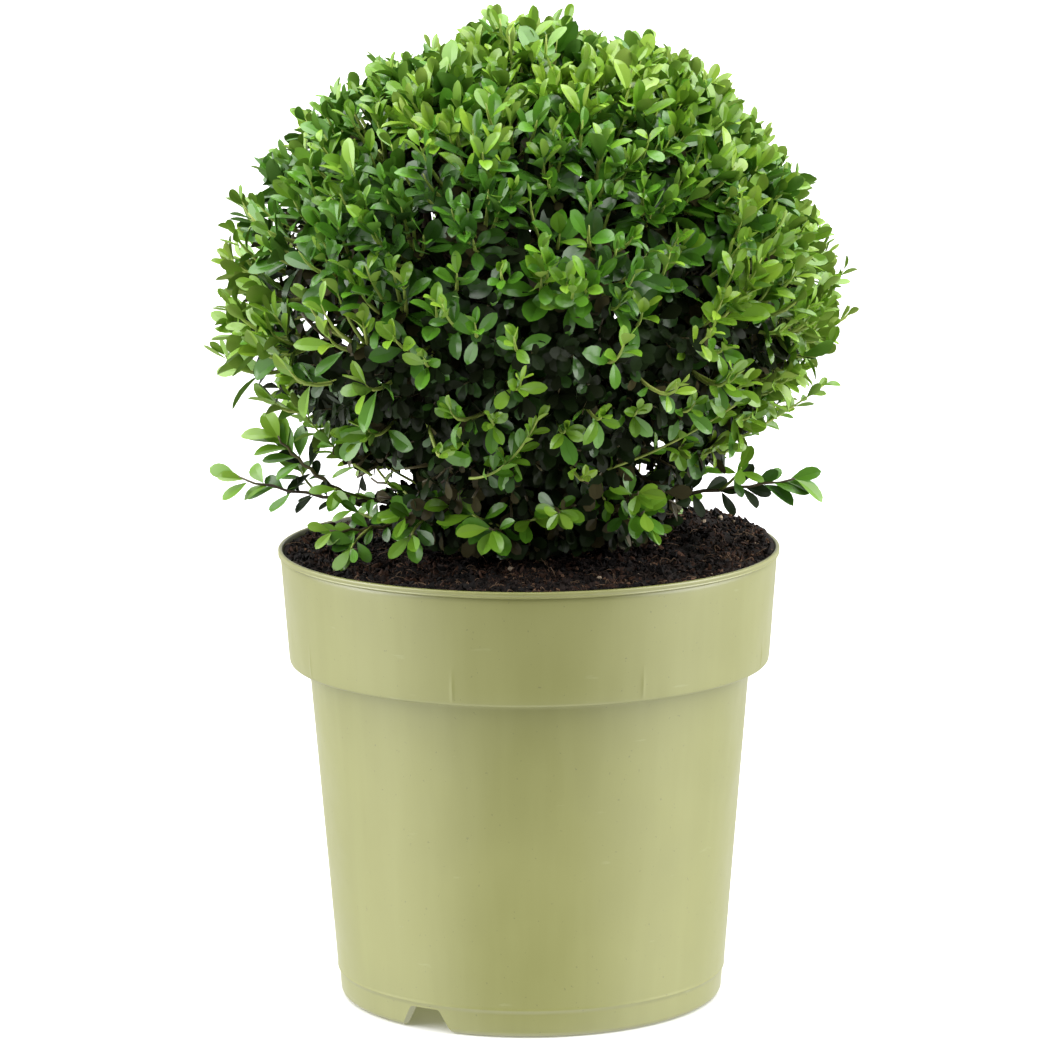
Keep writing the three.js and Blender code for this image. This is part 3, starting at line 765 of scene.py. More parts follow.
def lumps(name, places, sizes, shape, material, roughness, solid):
    """Small irregular pieces: one uneven lump for each place, of its own size and turn."""
    corners, faces = solid
    count, per_lump = len(places), len(corners)
    uneven = corners[None] * (1 + roughness * rng.normal(size=(count, per_lump, 1)))
    sized = uneven * (np.asarray(shape) * sizes[:, None])[:, None]
    quaternion = unit(rng.normal(size=(count, 1, 4)))
    axis = quaternion[..., 1:]
    swing = 2 * np.cross(axis, sized)
    turned = sized + quaternion[..., :1] * swing + np.cross(axis, swing)
    points = (turned + places[:, None]).reshape(-1, 3)
    add_piece(name, points, [repeated(faces, count, per_lump)], material, "soil", smooth=False)


def fibres(name, count, reach, colour):
    """Thin root fibres that lie on the compost and curl up from it."""
    start = scatter_on_soil(count, reach)
    heading = around(360 * rng.random(count), 1, 0)
    end = start + heading * (3 + 8 * rng.random(count) ** 2)[:, None]
    end[:, 2] = soil_top(end[:, 0], end[:, 1]) + 1.8 * rng.random(count)
    middle = (start + end) / 2 + rng.normal(0, 1.8, (count, 3)) + np.array([0, 0, 2])
    curls = tapered(bends(start, middle, end, 5), 0.24, 0.12, 3)
    add_piece(name, *curls, plain(name, colour, 0.85, 0.3), "soil")


def in_patches(places, dryness):
    """The half of the places that lies in the driest patches of the soil, or in the dampest."""
    patches = dryness * lumpy(places[:, 0], places[:, 1], PATCH_SIZE)
    patches = patches + rng.normal(0, 0.14, len(places))
    return places[np.argsort(patches)[len(places) // 2 :]]


def make_crumbs():
    """Crumbs, bark chips, grit and root fibres that lie on the compost."""
    crumb, inner = (1.3, 0.9, 0.7), SOIL_REACH - 6
    tints = {
        "soil_crumbs_black": (srgb(14, 10, 9), 0.34, 1.4, -1),
        "soil_crumbs_dark": (srgb(29, 19, 15), 0.32, 1.3, 0),
        "soil_crumbs_brown": (srgb(58, 39, 29), 0.25, 1.15, 1),
        "soil_crumbs_pale": (srgb(106, 80, 61), 0.09, 0.9, 1),
    }
    for name, (colour, share, size, dryness) in tints.items():
        places = in_patches(scatter_on_soil(2 * int(CRUMBS * share), SOIL_REACH - 2), dryness)
        sizes = size * rng.lognormal(0, 0.55, len(places)).clip(0.4, 3.2)
        places[:, 2] += 0.2 * sizes
        material = plain(name, colour, 0.9, 0.25)
        lumps(name, places, sizes / 2, crumb, material, 0.3, octahedron())
    scraps = {
        "soil_bark_chips": (90, srgb(72, 48, 34), 2.6, (1, 0.42, 0.2)),
        "soil_grit": (34, srgb(170, 152, 130), 0.8, (1, 0.9, 0.8)),
    }
    for name, (count, colour, size, shape) in scraps.items():
        places = scatter_on_soil(count, inner)
        places[:, 2] += 0.5
        sizes = size * rng.lognormal(0, 0.35, count)
        lumps(name, places, sizes, shape, plain(name, colour, 0.9, 0.3), 0.16, icosahedron())
    fibres("soil_fibres_pale", FIBRES // 3, inner, srgb(108, 86, 66))
    fibres("soil_fibres_dark", 2 * FIBRES // 3, inner, srgb(43, 30, 23))


# The stem and its boughs

GROUND = float(soil_height(0, 0)) + 0.1 + 0.3
FORK = GROUND + TRUNK_HEIGHT


def trunk_path(steps):
    share = np.linspace(0, 1, steps)
    points = TRUNK_LEAN * share[:, None] + UP * (GROUND + TRUNK_HEIGHT * share[:, None])
    spread = np.exp(-share * TRUNK_HEIGHT * 2 / TRUNK_FLARE_HEIGHT)
    flare = (TRUNK_FLARE_RADIUS - TRUNK_RADIUS) * spread
    return points[None], (lerp(TRUNK_RADIUS, TRUNK_TOP_RADIUS, share) + flare)[None]


def bough_paths(steps):
    azimuth = BOUGH_FIRST + 360 * np.arange(BOUGHS) / BOUGHS
    below = np.resize(BOUGH_BELOW_FORK, BOUGHS)
    start = around(azimuth, TRUNK_TOP_RADIUS * 0.4, FORK - below) + TRUNK_LEAN
    end = around(azimuth, BOUGH_SPREAD, CROWN_CENTRE[2] - CROWN_DROP * 0.55)
    return bends(start, (start + end) / 2 + around(azimuth, *BOUGH_BOW), end, steps)


def low_bough_paths(steps):
    azimuth = np.array([shoot[0] for shoot in LOW_SHOOTS.values()])
    foot_height = GROUND + np.resize(LOW_FOOT_HEIGHTS, len(azimuth))
    start = around(azimuth, TRUNK_RADIUS * 0.5, foot_height)
    end = around(azimuth, LOW_FORK_RADIUS + 3, LOW_FORK_HEIGHT)
    return bends(start, (start + end) / 2 + around(azimuth, *LOW_BOUGH_BOW), end, steps)


def with_relief(paths, radii, sides, ridge, knots):
    """Limbs whose skin has ridges along them and knots, as points and faces."""
    points, groups = tubes(paths, radii, sides)
    outward = unit(points.reshape(*paths.shape[:2], sides, 3) - paths[:, :, None]).reshape(-1, 3)
    fine = smooth_noise(points / np.array([2.2, 2.2, 8]))
    broad = smooth_noise(points / np.array([7, 7, 9]))
    return points + outward * (ridge * fine + knots * broad)[:, None], groups


def make_limbs():
    """The trunk, the boughs that carry the ball, and the low boughs, with bark relief."""
    parts = [
        with_relief(*trunk_path(40), 36, 0.7, 0.9),
        with_relief(bough_paths(32), np.linspace(*BOUGH_RADII, 32), 18, 0.35, 0.5),
        with_relief(low_bough_paths(22), np.linspace(*LOW_BOUGH_RADII, 22), 14, 0.25, 0.35),
    ]
    boughs = [f"bough_{i + 1}" for i in range(BOUGHS)]
    low_boughs = [f"low_bough_{name}" for name in LOW_SHOOTS]
    add_piece("woody_limbs", *joined(parts), bark(), "bark", "trunk", *boughs, *low_boughs)


# Growth: each generation of twigs ends on a shell of the ball and starts from the one below


def crown_reach(directions):
    """Distance from the ball's centre to its clipped surface along each direction."""
    level = np.hypot(directions[..., 0], directions[..., 1]) / CROWN_RADIUS
    steep = np.abs(directions[..., 2]) / np.where(directions[..., 2] > 0, CROWN_RISE, CROWN_DROP)
    even = (level**CROWN_FULLNESS + steep**CROWN_FULLNESS) ** (-1 / CROWN_FULLNESS)
    aside = np.linalg.norm(directions - SPRAY_TOWARDS, axis=-1) / SPRAY_WIDE
    return even * (1 + SPRAY_OUT * np.exp(-(aside**2)))


def lean(heights):
    """How far the top of the ball leans to the right at each height."""
    shift = TOP_LEAN * share_of(heights, LEAN_FROM, LEAN_OVER)
    return np.array([1.0, 0.0, 0.0]) * shift[..., None]


def crown_share(points):
    """How far out points lie between the ball's centre and its surface."""
    offset = points - CROWN_CENTRE - lean(points[..., 2])
    distance = np.linalg.norm(offset, axis=-1)
    return distance / crown_reach(offset / np.maximum(distance, 1e-6)[..., None])


def spread_directions(count, uneven):
    """Directions by the golden angle from the top down to the lowest slope, a little uneven."""
    slope = np.linspace(1, LOWEST_SLOPE, count)
    turn = np.arange(count) * GOLDEN_ANGLE
    level = np.sqrt(1 - slope**2)
    even = np.stack([level * np.cos(turn), level * np.sin(turn), slope], -1)
    spacing = math.sqrt(2 * math.pi * (1 - LOWEST_SLOPE) / count)
    return unit(even + rng.normal(0, uneven * spacing, even.shape))


def lowered(directions):
    """Where a shoot of this direction starts: a little lower than its tip."""
    return unit(directions - UP * LIFT * (1 - directions[:, 2:] ** 2))


def grow(parents, parent_heads, tips, heads, steps, lead=0.5):
    """Twigs to tips from the nearest parent: they leave along it, and turn to heads as lead says."""
    gaps = np.linalg.norm((tips - heads * 12)[:, None] - parents[None], axis=-1)
    nearest = gaps.argmin(axis=1)
    start = parents[nearest]
    length = np.linalg.norm(tips - start, axis=1, keepdims=True)
    leave = start + parent_heads[nearest] * length * 0.35
    arrive = tips - heads * length * 0.45
    return bends(start, lerp(leave, arrive, lead), tips, steps)


def ends_of(paths):
    return paths[:, -1], unit(paths[:, -1] - paths[:, -2])


def rising(directions, amount):
    """Directions turned up towards the light, most of all those that point sideways."""
    return unit(directions + UP * amount * (1 - np.clip(directions[:, 2:], 0, 1)))


def generation(parents, count, share, rise, steps):
    """One generation of twigs inside the ball, its tips at a share of the way out."""
    directions = spread_directions(count, 0.3)
    shares = share * (1 + rng.normal(0, 0.03, count))
    towards = lowered(directions)
    tips = CROWN_CENTRE + towards * (crown_reach(towards) * shares)[:, None]
    return grow(*parents, tips, rising(directions, rise), steps)


# Leaves


def leaf_faces(stations):
    """Faces of one leaf: triangles of its upper side and its underside, then quads of both.

    Points run root, then left, middle, right and lower middle at each station, then tip. The
    underside runs the other way round, over the lower middle.
    """
    tip = 1 + 4 * stations
    left, mid, right = (1 + k + 4 * np.arange(stations) for k in range(3))
    triangles = [(0, right[0], mid[0]), (0, mid[0], left[0])]
    triangles += [(right[-1], tip, mid[-1]), (mid[-1], tip, left[-1])]
    quads = []
    for i, j in zip(range(stations - 1), range(1, stations)):
        quads += [(right[i], right[j], mid[j], mid[i]), (mid[i], mid[j], left[j], left[i])]
    groups = []
    for above in (np.array(triangles), np.array(quads)):
        below = np.roll(above[:, ::-1], 1, axis=1)
        groups += [above, np.where(np.isin(below, mid), below + 2, below)]
    return groups


def leaf_points(leaves, stations, widths):
    """Corner points of leaves, of shape (count, corners, 3), in the order that leaf_faces tells."""
    names = ("root", "along", "face", "length", "width", "bend", "fold")
    root, along, face, length, width, bend, fold = (leaves[name][:, None] for name in names)
    share = np.concatenate([[0], np.repeat(stations, 4), [1]])
    across = np.pad(np.outer(widths, (1, 0, -1, 0)).ravel(), 1)
    below = np.pad(np.outer(np.minimum(1, widths + 0.15), (0, 0, 0, 1)).ravel(), 1)
    sideways = length * width / 2 * across
    forward = length * share * (1 - (bend * share) ** 2 / 6)
    rise = length * bend * share**2 / 2 - LEAF_THICKNESS * length * below
    rise = rise + np.abs(sideways) * fold
    points = root + along * forward[..., None] + np.cross(face, along) * sideways[..., None]
    return points + face * rise[..., None]


def add_leaves(name, leaves, tint, slot, fine):
    """Leaves of one tint as one joined piece, with an upper side and an underside."""
    stations, widths = (LEAF_STATIONS, LEAF_WIDTHS) if fine else (SMALL_STATIONS, SMALL_WIDTHS)
    points = leaf_points(leaves, stations, widths)
    count, corners, _ = points.shape
    groups = leaf_faces(len(stations))
    faces = [repeated(group, count, corners) for group in groups]
    slots = np.concatenate([np.full(count * len(g), k % 2) for k, g in enumerate(groups)])
    creases = np.ones((count, corners), dtype=np.int32)
    creases[:, 2:-1:4] = 2
    creases[:, 4:-1:4] = 0
    sides = [bpy.data.materials[f"leaf_{tint}{side}"] for side in ("", "_under")]
    settle(add_mesh(name, points.reshape(-1, 3), faces, sides, slots, creases.ravel()), slot)


def add_tinted(prefix, leaves, tints, names, slot, fine=True):
    """Leaves as one piece for each of the named tints."""
    for name in names:
        add_leaves(f"{prefix}_{name}", chosen(leaves, tints == name), name, slot, fine)


def leaves_on(paths, count, span, habit, spray, scale=1.0):
    """Leaves round each twig by the golden angle, over a span of its length."""
    twigs, steps, _ = paths.shape
    order = np.linspace(0, 1, count)
    share = lerp(*span, order**0.85)[None] + rng.normal(0, 0.012, (twigs, count))
    place = np.clip(share, 0, 1) * (steps - 1)
    low = np.minimum(place.astype(int), steps - 2)
    part = (place - low)[..., None]
    rows = np.arange(twigs)[:, None]
    root = paths[rows, low] * (1 - part) + paths[rows, low + 1] * part
    stem, side, other = (axis[rows, low] for axis in frames_along(paths))
    turn = rng.random((twigs, 1)) * 2 * np.pi + np.arange(count) * GOLDEN_ANGLE
    turn = turn + rng.normal(0, 0.2, turn.shape)
    outward = side * np.cos(turn)[..., None] + other * np.sin(turn)[..., None]
    opens = lerp(*habit.opens, order)[None] + rng.normal(0, 9, turn.shape)
    opens = np.radians(opens)[..., None]
    heading = unit(stem * np.cos(opens) + outward * np.sin(opens) - UP * habit.droop)
    lit = unit(DAYLIGHT)
    heading = unit(heading - lit * habit.spread * (heading @ lit)[..., None])
    sky = unit(unit(root - CROWN_CENTRE) * 0.7 + UP)
    face = stem + habit.sky * sky + habit.daylight * DAYLIGHT
    face = face + rng.normal(0, 0.22, heading.shape)
    face = unit(face - heading * (face * heading).sum(-1, keepdims=True))
    vigour = np.reshape(scale, (-1, 1)) * rng.normal(1, 0.14, (twigs, 1)).clip(0.7, 1.3)
    uneven = rng.normal(1, 0.1, turn.shape).clip(0.7, 1.3)
    flat = twigs * count
    return {
        "root": root.reshape(-1, 3),
        "along": heading.reshape(-1, 3),
        "face": face.reshape(-1, 3),
        "length": (lerp(*habit.lengths, order)[None] * vigour * uneven).ravel(),
        "width": rng.normal(habit.width, 0.04, flat).clip(0.34, 0.66),
        "bend": rng.normal(habit.bend, 0.3, flat),
        "fold": rng.normal(habit.fold, 0.14, flat).clip(-0.05, 0.75),
        "order": np.tile(order, twigs),
        "spray": np.repeat(spray, count),
    }


def chosen(leaves, keep):
    return {name: values[keep] for name, values in leaves.items()}


def together(sets):
    return {name: np.concatenate([leaves[name] for leaves in sets]) for name in sets[0]}


def tips_of(leaves):
    return leaves["root"] + leaves["along"] * leaves["length"][:, None]


def make_leaf_materials():
    for name, (upper, under) in LEAF_TINTS.items():
        plain(f"leaf_{name}", srgb(*upper), *(DULL_GLOSS if name in DULL else LEAF_GLOSS))
        plain(f"leaf_{name}_under", srgb(*under), *UNDER_GLOSS)


def in_sky(points, margin):
    """Points that the photograph's camera sees in one of the openings, or nearer to it than margin."""
    eye = np.array([0.0, -CAMERA_DISTANCE, CAMERA_HEIGHT])
    ray = points - eye
    on_plane = eye + ray * (-eye[1] / ray[:, 1])[:, None]
    across, height = on_plane[:, 0], on_plane[:, 2]
    near = [np.hypot(across - x, height - z) < half + margin for x, z, half in SKY]
    return np.any(near, axis=0)


def leaf_in_sky(leaves):
    """Leaves that would cover one of the openings."""
    reach = leaves["along"] * leaves["length"][:, None]
    margin = 0.3 * leaves["length"] * leaves["width"]
    spots = [in_sky(leaves["root"] + reach * share, margin) for share in (0.1, 0.4, 0.7, 1.0)]
    return np.any(spots, axis=0)


def path_in_sky(paths, margin):
    """Twigs that would cross one of the openings."""
    return in_sky(paths.reshape(-1, 3), margin).reshape(len(paths), -1).any(axis=1)


def fresh_share(x, height):
    """The share of shoots with new growth, by direction across and by height."""
    climb = FRESH_CLIMB * eased(share_of(height, 294, 90))
    right = np.clip(x, 0, 1) * share_of(height, 262, 40, 0.1)
    low_left = FRESH_LOW_LEFT * np.clip(-x, 0, 1) * share_of(height, 325, -20)
    edge = FRESH_SIDES * x**4 * share_of(height, 258, 36, 0.45)
    return FRESH_FOOT + climb + edge + FRESH_RIGHT * right + low_left


def shoot_vigour_and_painted_light(directions, height):
    """How bright a shoot's leaves are: brightest on top, at the outer edges and on low sprigs. Partly
    new growth and partly painted light: the noise and the low sprigs are growth, the top is both, and
    the lighter outer edges, darker left and lighter upper right are painted light.
    """
    x = directions[:, 0]
    growth = smooth_noise(directions * 2.8 + UP * 9)
    # Painted light: lighter tints at the outer edges and on top, darker to the left and lighter at the
    # upper right
    outer = np.where(x < 0, 2.1 * x**6, 1.3 * x**4) * share_of(height, 390, -40, 0.3)
    low_sprigs = share_of(height, 365, -45)
    lit = 0.92 * share_of(height, 395, 45) + outer + low_sprigs
    lit += 0.35 * np.minimum(x, 0)
    lit += 0.5 * np.maximum(x, 0) * share_of(height, 330, 40)
    return 1.2 * growth + lit + rng.normal(0, 0.3, len(x))


def grow_shoots(parents):
    """The ball's shoots: their directions, heights, paths, and which of them are new and which old.

    They end further in where the growth is hollow, thin low at the left, and flat beside the tuft on
    top, and those that would cross an opening are left out.
    """
    directions = spread_directions(SHOOTS, 0.34)
    loose_left = LOOSE_LEFT * share_of(-directions[:, 0], 0.6, 0.2)
    directions = directions[rng.random(SHOOTS) > loose_left]
    count = len(directions)
    surface = CROWN_CENTRE + directions * crown_reach(directions)[:, None]
    x, height = directions[:, 0], surface[:, 2]
    clumps = smooth_noise(directions * 4.6 + UP)
    sprigs = smooth_noise(directions * 9.5 + UP * 4)
    hollow = share_of(-clumps, 0.08, 0.25) * share_of(height, 430, -60, 0.15)
    thin_left = np.clip(-1.4 * x - 0.2, 0, 1) * np.clip(-2.5 * directions[:, 2], 0, 1)
    likely = fresh_share(x, height) * (1 - 0.6 * hollow) * (1 - 0.2 * thin_left)
    fresh = rng.random(count) < likely
    extra = LONG_EXTRA * rng.random(count) * (rng.random(count) < LONG_SHARE)
    new_share = NEW_END + NEW_RANGE * rng.random(count) + extra
    old_share = OLD_END + OLD_RANGE * rng.random(count)
    shares = np.where(fresh, new_share, old_share) + 0.035 * clumps + 0.05 * sprigs
    beside_tuft = np.clip(np.hypot(surface[:, 0] + 6, surface[:, 1] - 8) / 14 - 1.2, 0, 1)
    flatter = beside_tuft * share_of(height, 420, 25)
    shares -= 0.03 * hollow + 0.03 * thin_left + 0.045 * flatter
    last_leaf = FRESH.lengths[1] * 0.7
    tips = CROWN_CENTRE + directions * (crown_reach(directions) * shares - last_leaf)[:, None]
    tips = tips + lean(tips[:, 2])
    heads = rising(directions, np.where(fresh, NEW_RISE, OLD_RISE)[:, None])
    lead = np.where(fresh, NEW_LEAD, OLD_LEAD)[:, None]
    shoots = grow(*parents, tips, heads, SHOOT_STEPS, lead)
    clear = ~path_in_sky(shoots[:, 2:], 0.5)
    return directions, height, shoots, np.flatnonzero(fresh & clear), np.flatnonzero(~fresh & clear)


def make_ball():
    """The clipped ball: four generations of twigs, the last of them leafy shoots."""
    leader = bends(TRUNK_LEAN + UP * FORK, UP * (FORK + 22), CROWN_CENTRE - UP * 20, 12)
    parents = [np.concatenate(pair) for pair in zip(ends_of(bough_paths(12)), ends_of(leader))]
    inner = []
    for count, share, rise, steps in GENERATIONS:
        inner.append(generation(parents, count, share, rise, steps))
        parents = ends_of(inner[-1])
    first, second, third = inner
    directions, height, shoots, new_sprays, old_sprays = grow_shoots(parents)
    new, old = shoots[new_sprays], shoots[old_sprays]

    limbs = [tapered(leader, 5, 2.8, 8), tapered(first, 2.4, 1.7, 6), tapered(second, 1.7, 1.2, 5)]
    sprays = [f"low_spray_{name}" for name in LOW_SHOOTS]
    add_piece("crown_limbs", *joined(limbs), bark(), "bark", "crown", *sprays)
    brown = green_stem("brown_stem", srgb(88, 82, 46), srgb(62, 50, 36))
    twigs = [tapered(third, 1.15, 0.85, 4), tapered(old, 0.8, 0.4, 3)]
    add_piece("crown_twigs", *joined(twigs), brown, "bark")
    green = green_stem("green_stem", srgb(176, 190, 94), srgb(146, 170, 72))
    stems = tubes(new, [1.1, 1.06, 1.0, 0.92, 0.8, 0.62, 0.28], 4)
    add_piece("crown_shoots", *stems, green, "crown_leaves")

    # The shoots' brightness holds painted light as well as new growth: lighter on top and at the outer
    # edges
    vigour = shoot_vigour_and_painted_light(directions, height)
    climb = share_of(new[:, -1, 2], 250, 140)
    left = np.clip(-new[:, -1, 0] / 60 - 0.6, 0, 1)
    leafy = leaves_on(new, 8, (0.32, 1.0), FRESH, new_sprays, lerp(0.74 + 0.42 * left, 1.1, climb))
    dark = [
        leaves_on(old, 12, (0.2, 1.0), OLD, old_sprays),
        leaves_on(new, 4, (0.08, 0.38), OLD, new_sprays),
        leaves_on(third, 9, (0.2, 1.0), INNER, np.arange(len(third))),
        leaves_on(second, 7, (0.3, 1.0), INNER, np.arange(len(second))),
    ]
    return leafy, vigour, dark


def make_skirt():
    """Old twigs and leaves between the soil and the ball, wider higher up."""
    height = lerp(*SKIRT_HEIGHTS, np.arange(SKIRT_TWIGS) / SKIRT_TWIGS)
    azimuth = np.degrees(np.arange(SKIRT_TWIGS) * GOLDEN_ANGLE)
    reach = np.clip(62 + (height - 206) * 0.75, 50, 104)
    radius = reach * np.sqrt(lerp(0.3, 1.0, rng.random(SKIRT_TWIGS))) - 8
    tips = around(azimuth, radius, height + rng.normal(0, 2, SKIRT_TWIGS))
    heads = unit(around(azimuth, 1.0, 0.25 + rng.normal(0, 0.35, SKIRT_TWIGS)))
    limbs = np.concatenate([low_bough_paths(9), bough_paths(9)])
    along = frames_along(limbs)[0]
    twigs = grow(limbs[:, 3:].reshape(-1, 3), along[:, 3:].reshape(-1, 3), tips, heads, 7)
    twigs = twigs[~path_in_sky(twigs, 0.8)]
    brown = bpy.data.materials["brown_stem"]
    add_piece("skirt_twigs", *tapered(twigs, 1.2, 0.6, 4), brown, "bark")
    return leaves_on(twigs, 10, (0.3, 1.0), OLD, np.arange(len(twigs)))


def low_stems():
    """Stems of the loose shoots and their forks, a little crooked, and the twigs at their sides."""
    stems = []
    for name, (azimuth, reach, height, sag, *_) in LOW_SHOOTS.items():
        fork = around(azimuth, LOW_FORK_RADIUS, LOW_FORK_HEIGHT)
        tip = around(azimuth + SWINGS.get(name, 0), reach - 12, height - 6)
        stems.append(bends(fork, (fork + tip) / 2 - UP * sag, tip, LOW_STEPS))
    for name, swing, *places in LOW_FORKS:
        azimuth = LOW_SHOOTS[name][0] + swing
        stems.append(bends(*[around(azimuth, *place) for place in places], LOW_STEPS))
    stems = np.concatenate(stems)
    along, side, other = frames_along(stems)
    steps = np.arange(LOW_STEPS)
    zigzag = np.where(steps % 2, 0.45, -0.45) * np.clip(steps - 2, 0, 1)
    stems = stems + other * zigzag[:, None] + side * np.roll(zigzag, 1)[:, None]
    twigs = []
    for index, (*_, side_twigs, _) in enumerate(LOW_SHOOTS.values()):
        for k in range(side_twigs):
            spot = index, int(lerp(5, 12, k / side_twigs))
            turn = k * GOLDEN_ANGLE + rng.random() * 0.6
            outward = side[spot] * math.cos(turn) + other[spot] * math.sin(turn)
            heading = unit(along[spot] * 0.8 + outward * 0.8 + UP * 0.25)
            end = stems[spot] + heading * lerp(24, 13, k / side_twigs)
            twigs.append(bends(stems[spot], (stems[spot] + end) / 2 + along[spot] * 3, end, 6))
    return stems, np.concatenate(twigs)


def make_low_shoots():
    """The loose shoots that stand out below the ball, with bright leaves at their ends."""
    stems, twigs = low_stems()
    bows = LONG_SHOOTS.mean(axis=1) + rng.normal(0, 3, (len(LONG_SHOOTS), 3)) - UP * 6
    long_ones = bends(LONG_SHOOTS[:, 0], bows, LONG_SHOOTS[:, 1], LOW_STEPS)
    brown, green = (bpy.data.materials[name] for name in ("brown_stem", "green_stem"))
    add_piece("low_stems", *tapered(stems, 1.4, 0.5, 6), brown, "bark")
    tender = [tapered(twigs, 0.8, 0.5, 5), tapered(long_ones, 0.7, 0.45, 5)]
    add_piece("low_twigs", *joined(tender), green, "low_leaves")
    old_shares = [shoot[-1] for shoot in LOW_SHOOTS.values()] + [FORK_OLD_SHARE] * len(LOW_FORKS)
    stem_names = [*LOW_SHOOTS, *[name for name, *_ in LOW_FORKS]]
    sizes = np.array([LOW_LEAF_SIZES.get(name, 1.0) for name in stem_names])
    on_stems = leaves_on(stems, 15, (0.44, 1.0), LOOSE, np.arange(len(stems)), sizes)
    on_twigs = leaves_on(twigs, 6, (0.5, 1.0), LOOSE, np.arange(len(twigs)))
    on_long = leaves_on(long_ones, 18, (0.2, 1.0), LONG, np.arange(len(long_ones)))
    on_stems["age"] = on_stems["order"] - np.array(old_shares)[on_stems["spray"]]
    on_stems["length"] *= lerp(0.85, 1.0, np.clip(4 * on_stems["age"] + 0.5, 0, 1))
    on_twigs["age"] = 0.05 + 0.4 * on_twigs["order"]
    on_long["age"] = 0.2 + 0.4 * on_long["order"]
    loose = together([on_stems, on_twigs])
    return together([chosen(loose, ~leaf_in_sky(loose)), on_long])


def crown_tints(leaves, vigour):
    """A tint for each leaf of the ball: by its spray's vigour and painted light, and brighter to the
    spray's tip.
    """
    age = leaves["order"] * 1.1 + 0.5 * vigour[leaves["spray"]]
    age = age + rng.normal(0, 0.14, len(age))
    warm = (leaves["spray"] * 7919 % 10) < 4
    return CROWN_TINTS[np.digitize(age, CROWN_AGES), warm.astype(int)]


def above_soil(leaves):
    """The leaves that stay over the soil, and over the pot's rim."""
    x, y, height = tips_of(leaves).T
    over_rim = np.hypot(x, y) > BAND_TOP_RADIUS - 4
    floor = np.where(over_rim, POT_HEIGHT + 1, soil_height(x, y) + 2)
    return chosen(leaves, (height > floor) & (leaves["root"][:, 2] > floor))


def within_ball(leaves):
    """The leaves whose tips stay inside the clipped surface and clear of the openings."""
    return chosen(leaves, (crown_share(tips_of(leaves)) < CROWN_LIMIT) & ~leaf_in_sky(leaves))


def add_dark(prefix, leaves, shares, slot):
    """Old leaves in dark tints, dealt out leaf by leaf."""
    leaves = chosen(leaves, ~leaf_in_sky(leaves))
    pick = rng.choice(len(shares), len(leaves["order"]), p=list(shares.values()))
    add_tinted(prefix, leaves, np.array(list(shares))[pick], shares, slot, fine=False)


def make_foliage():
    make_leaf_materials()
    leafy, vigour, dark = make_ball()
    leafy = within_ball(leafy)
    tints = crown_tints(leafy, vigour)
    add_tinted("crown_leaves", leafy, tints, np.unique(tints), "crown_leaves")
    add_dark("crown_old", within_ball(dark[0]), OUTER_DARK, "crown_leaves")
    add_dark("crown_inner", within_ball(together(dark[1:])), INNER_DARK, "crown_leaves")
    add_dark("skirt", above_soil(make_skirt()), SKIRT_DARK, "low_leaves")

    low = above_soil(make_low_shoots())
    age = low["age"] + rng.normal(0, 0.08, len(low["age"]))
    tints = LOW_TINTS[np.digitize(age, LOW_AGES)]
    add_tinted("low_leaves", low, tints, np.unique(tints), "low_leaves")


# Stage, light and camera


def make_stage():
    corners = [(x * FLOOR_HALF, y * FLOOR_HALF) for x, y in ((-1, -1), (1, -1), (1, 1), (-1, 1))]
    points = [(x, y, FLOOR_DROP) for x, y in corners]
    white = plain("floor", (0.8, 0.8, 0.8, 1.0), 0.9, 0.1)
    floor = add_mesh("floor", points, [np.array([[0, 1, 2, 3]])], [white], smooth=False)
    floor.visible_diffuse = False
    floor.visible_glossy = False


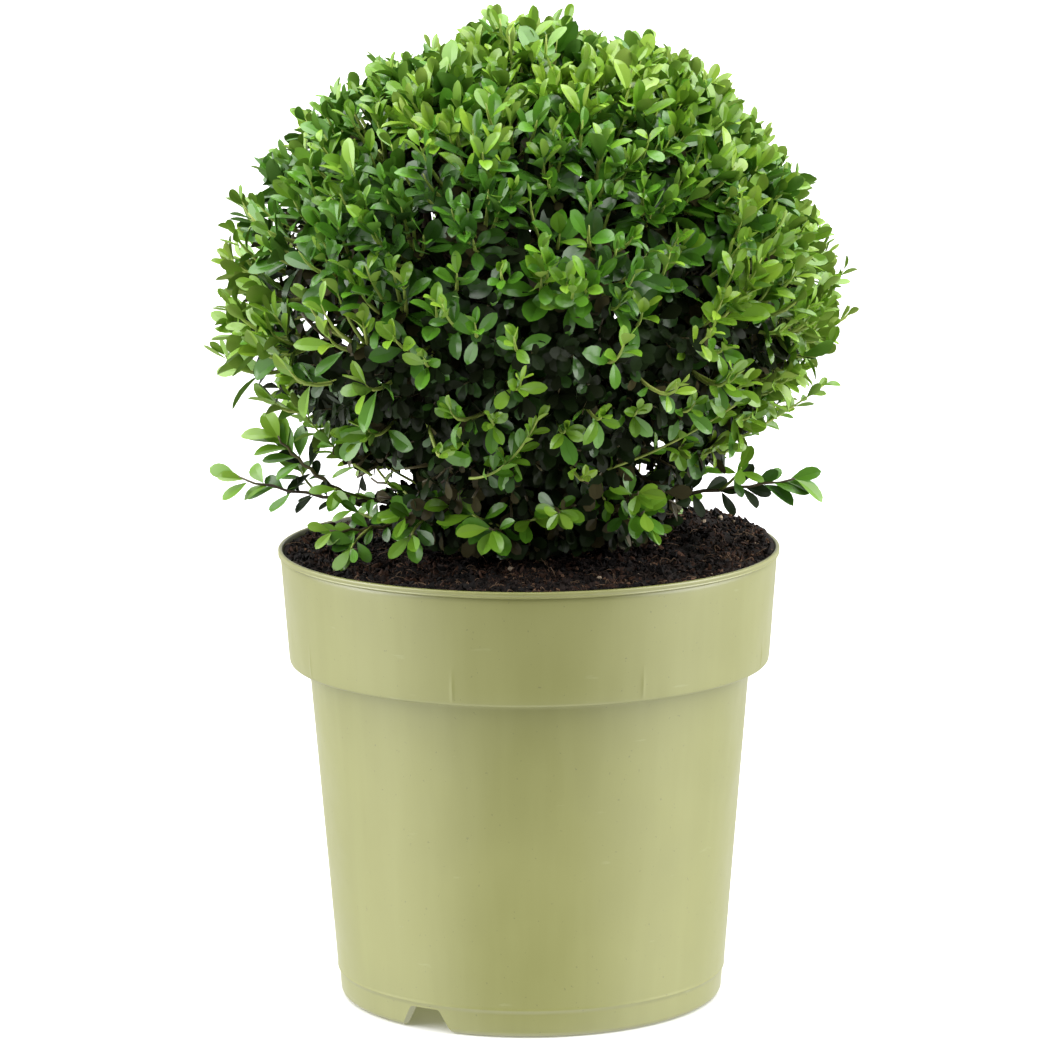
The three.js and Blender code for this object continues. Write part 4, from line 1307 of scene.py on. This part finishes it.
def make_world():
    """A white studio: bright walls at the sides and behind, a dim room in front, a pale floor."""
    world = bpy.data.worlds.new("studio")
    world.use_nodes = True
    tree = world.node_tree
    place = add_node(tree, "ShaderNodeTexCoord").outputs["Generated"]
    heading = add_node(tree, "ShaderNodeSeparateXYZ", {"Vector": place}).outputs
    room = grey_range(tree, heading["Z"], 0.5, 0.18, -0.3, 0.3)
    walls = grey_range(tree, heading["Y"], 0, 0.62, -0.85, -0.25)
    glow = reckon(tree, "ADD", room, walls)
    rays = add_node(tree, "ShaderNodeLightPath").outputs
    turned = grey_range(tree, heading["Y"], 0, 1, -1, 1)
    panels = ramp(tree, turned, *[(spot, (grey, grey, grey, 1.0)) for spot, grey in PANELS])
    low = grey_range(tree, heading["Z"], PANEL_GLOW, 0, -0.1, 0.1)
    for factor in (low, rays["Is Glossy Ray"]):
        panels = reckon(tree, "MULTIPLY", panels, factor)
    glow = reckon(tree, "ADD", glow, panels)
    seen = reckon(tree, "MAXIMUM", glow, rays["Is Camera Ray"])
    background = tree.nodes["Background"]
    background.inputs["Color"].default_value = (1, 1, 1, 1)
    tree.links.new(seen, background.inputs["Strength"])
    bpy.context.scene.world = world


def add_object(name, data):
    """An object for a light or a camera, in the scene."""
    made = bpy.data.objects.new(name, data)
    bpy.context.collection.objects.link(made)
    return made


def make_lights():
    for name, (towards, strength, spread) in SOFTBOXES.items():
        data = bpy.data.lights.new(name, "SUN")
        data.energy = strength * math.pi
        data.angle = math.radians(spread)
        facing = (-Vector(towards)).to_track_quat("-Z", "Y")
        add_object(name, data).rotation_euler = facing.to_euler()
    data = bpy.data.lights.new("floor_glow", "AREA")
    data.shape = "RECTANGLE"
    data.size, data.size_y = GLOW_SIZE
    data.energy = GLOW_POWER
    glow = add_object("floor_glow", data)
    glow.location = GLOW_PLACE
    glow.rotation_euler = (math.radians(GLOW_TILT), 0, 0)
    glow.visible_camera = False
    glow.visible_glossy = False


def make_camera():
    data = bpy.data.cameras.new("camera")
    data.sensor_width = CAMERA_SENSOR
    data.lens = CAMERA_LENS
    data.shift_x = CAMERA_SHIFT
    data.clip_end = 100
    camera = add_object("camera", data)
    pitch = Euler((math.radians(90 - CAMERA_PITCH), 0, 0)).to_matrix()
    turn = pitch @ Matrix.Rotation(math.radians(CAMERA_ROLL), 3, "Z")
    place = Vector((0, -CAMERA_DISTANCE, CAMERA_HEIGHT)) * MM
    camera.matrix_world = Matrix.Translation(place) @ turn.to_4x4()
    bpy.context.scene.camera = camera


make_camera()
make_stage()
make_world()
make_lights()
make_pot()
make_soil()
make_limbs()
make_foliage()
bpy.context.scene.view_settings.view_transform = "Standard"
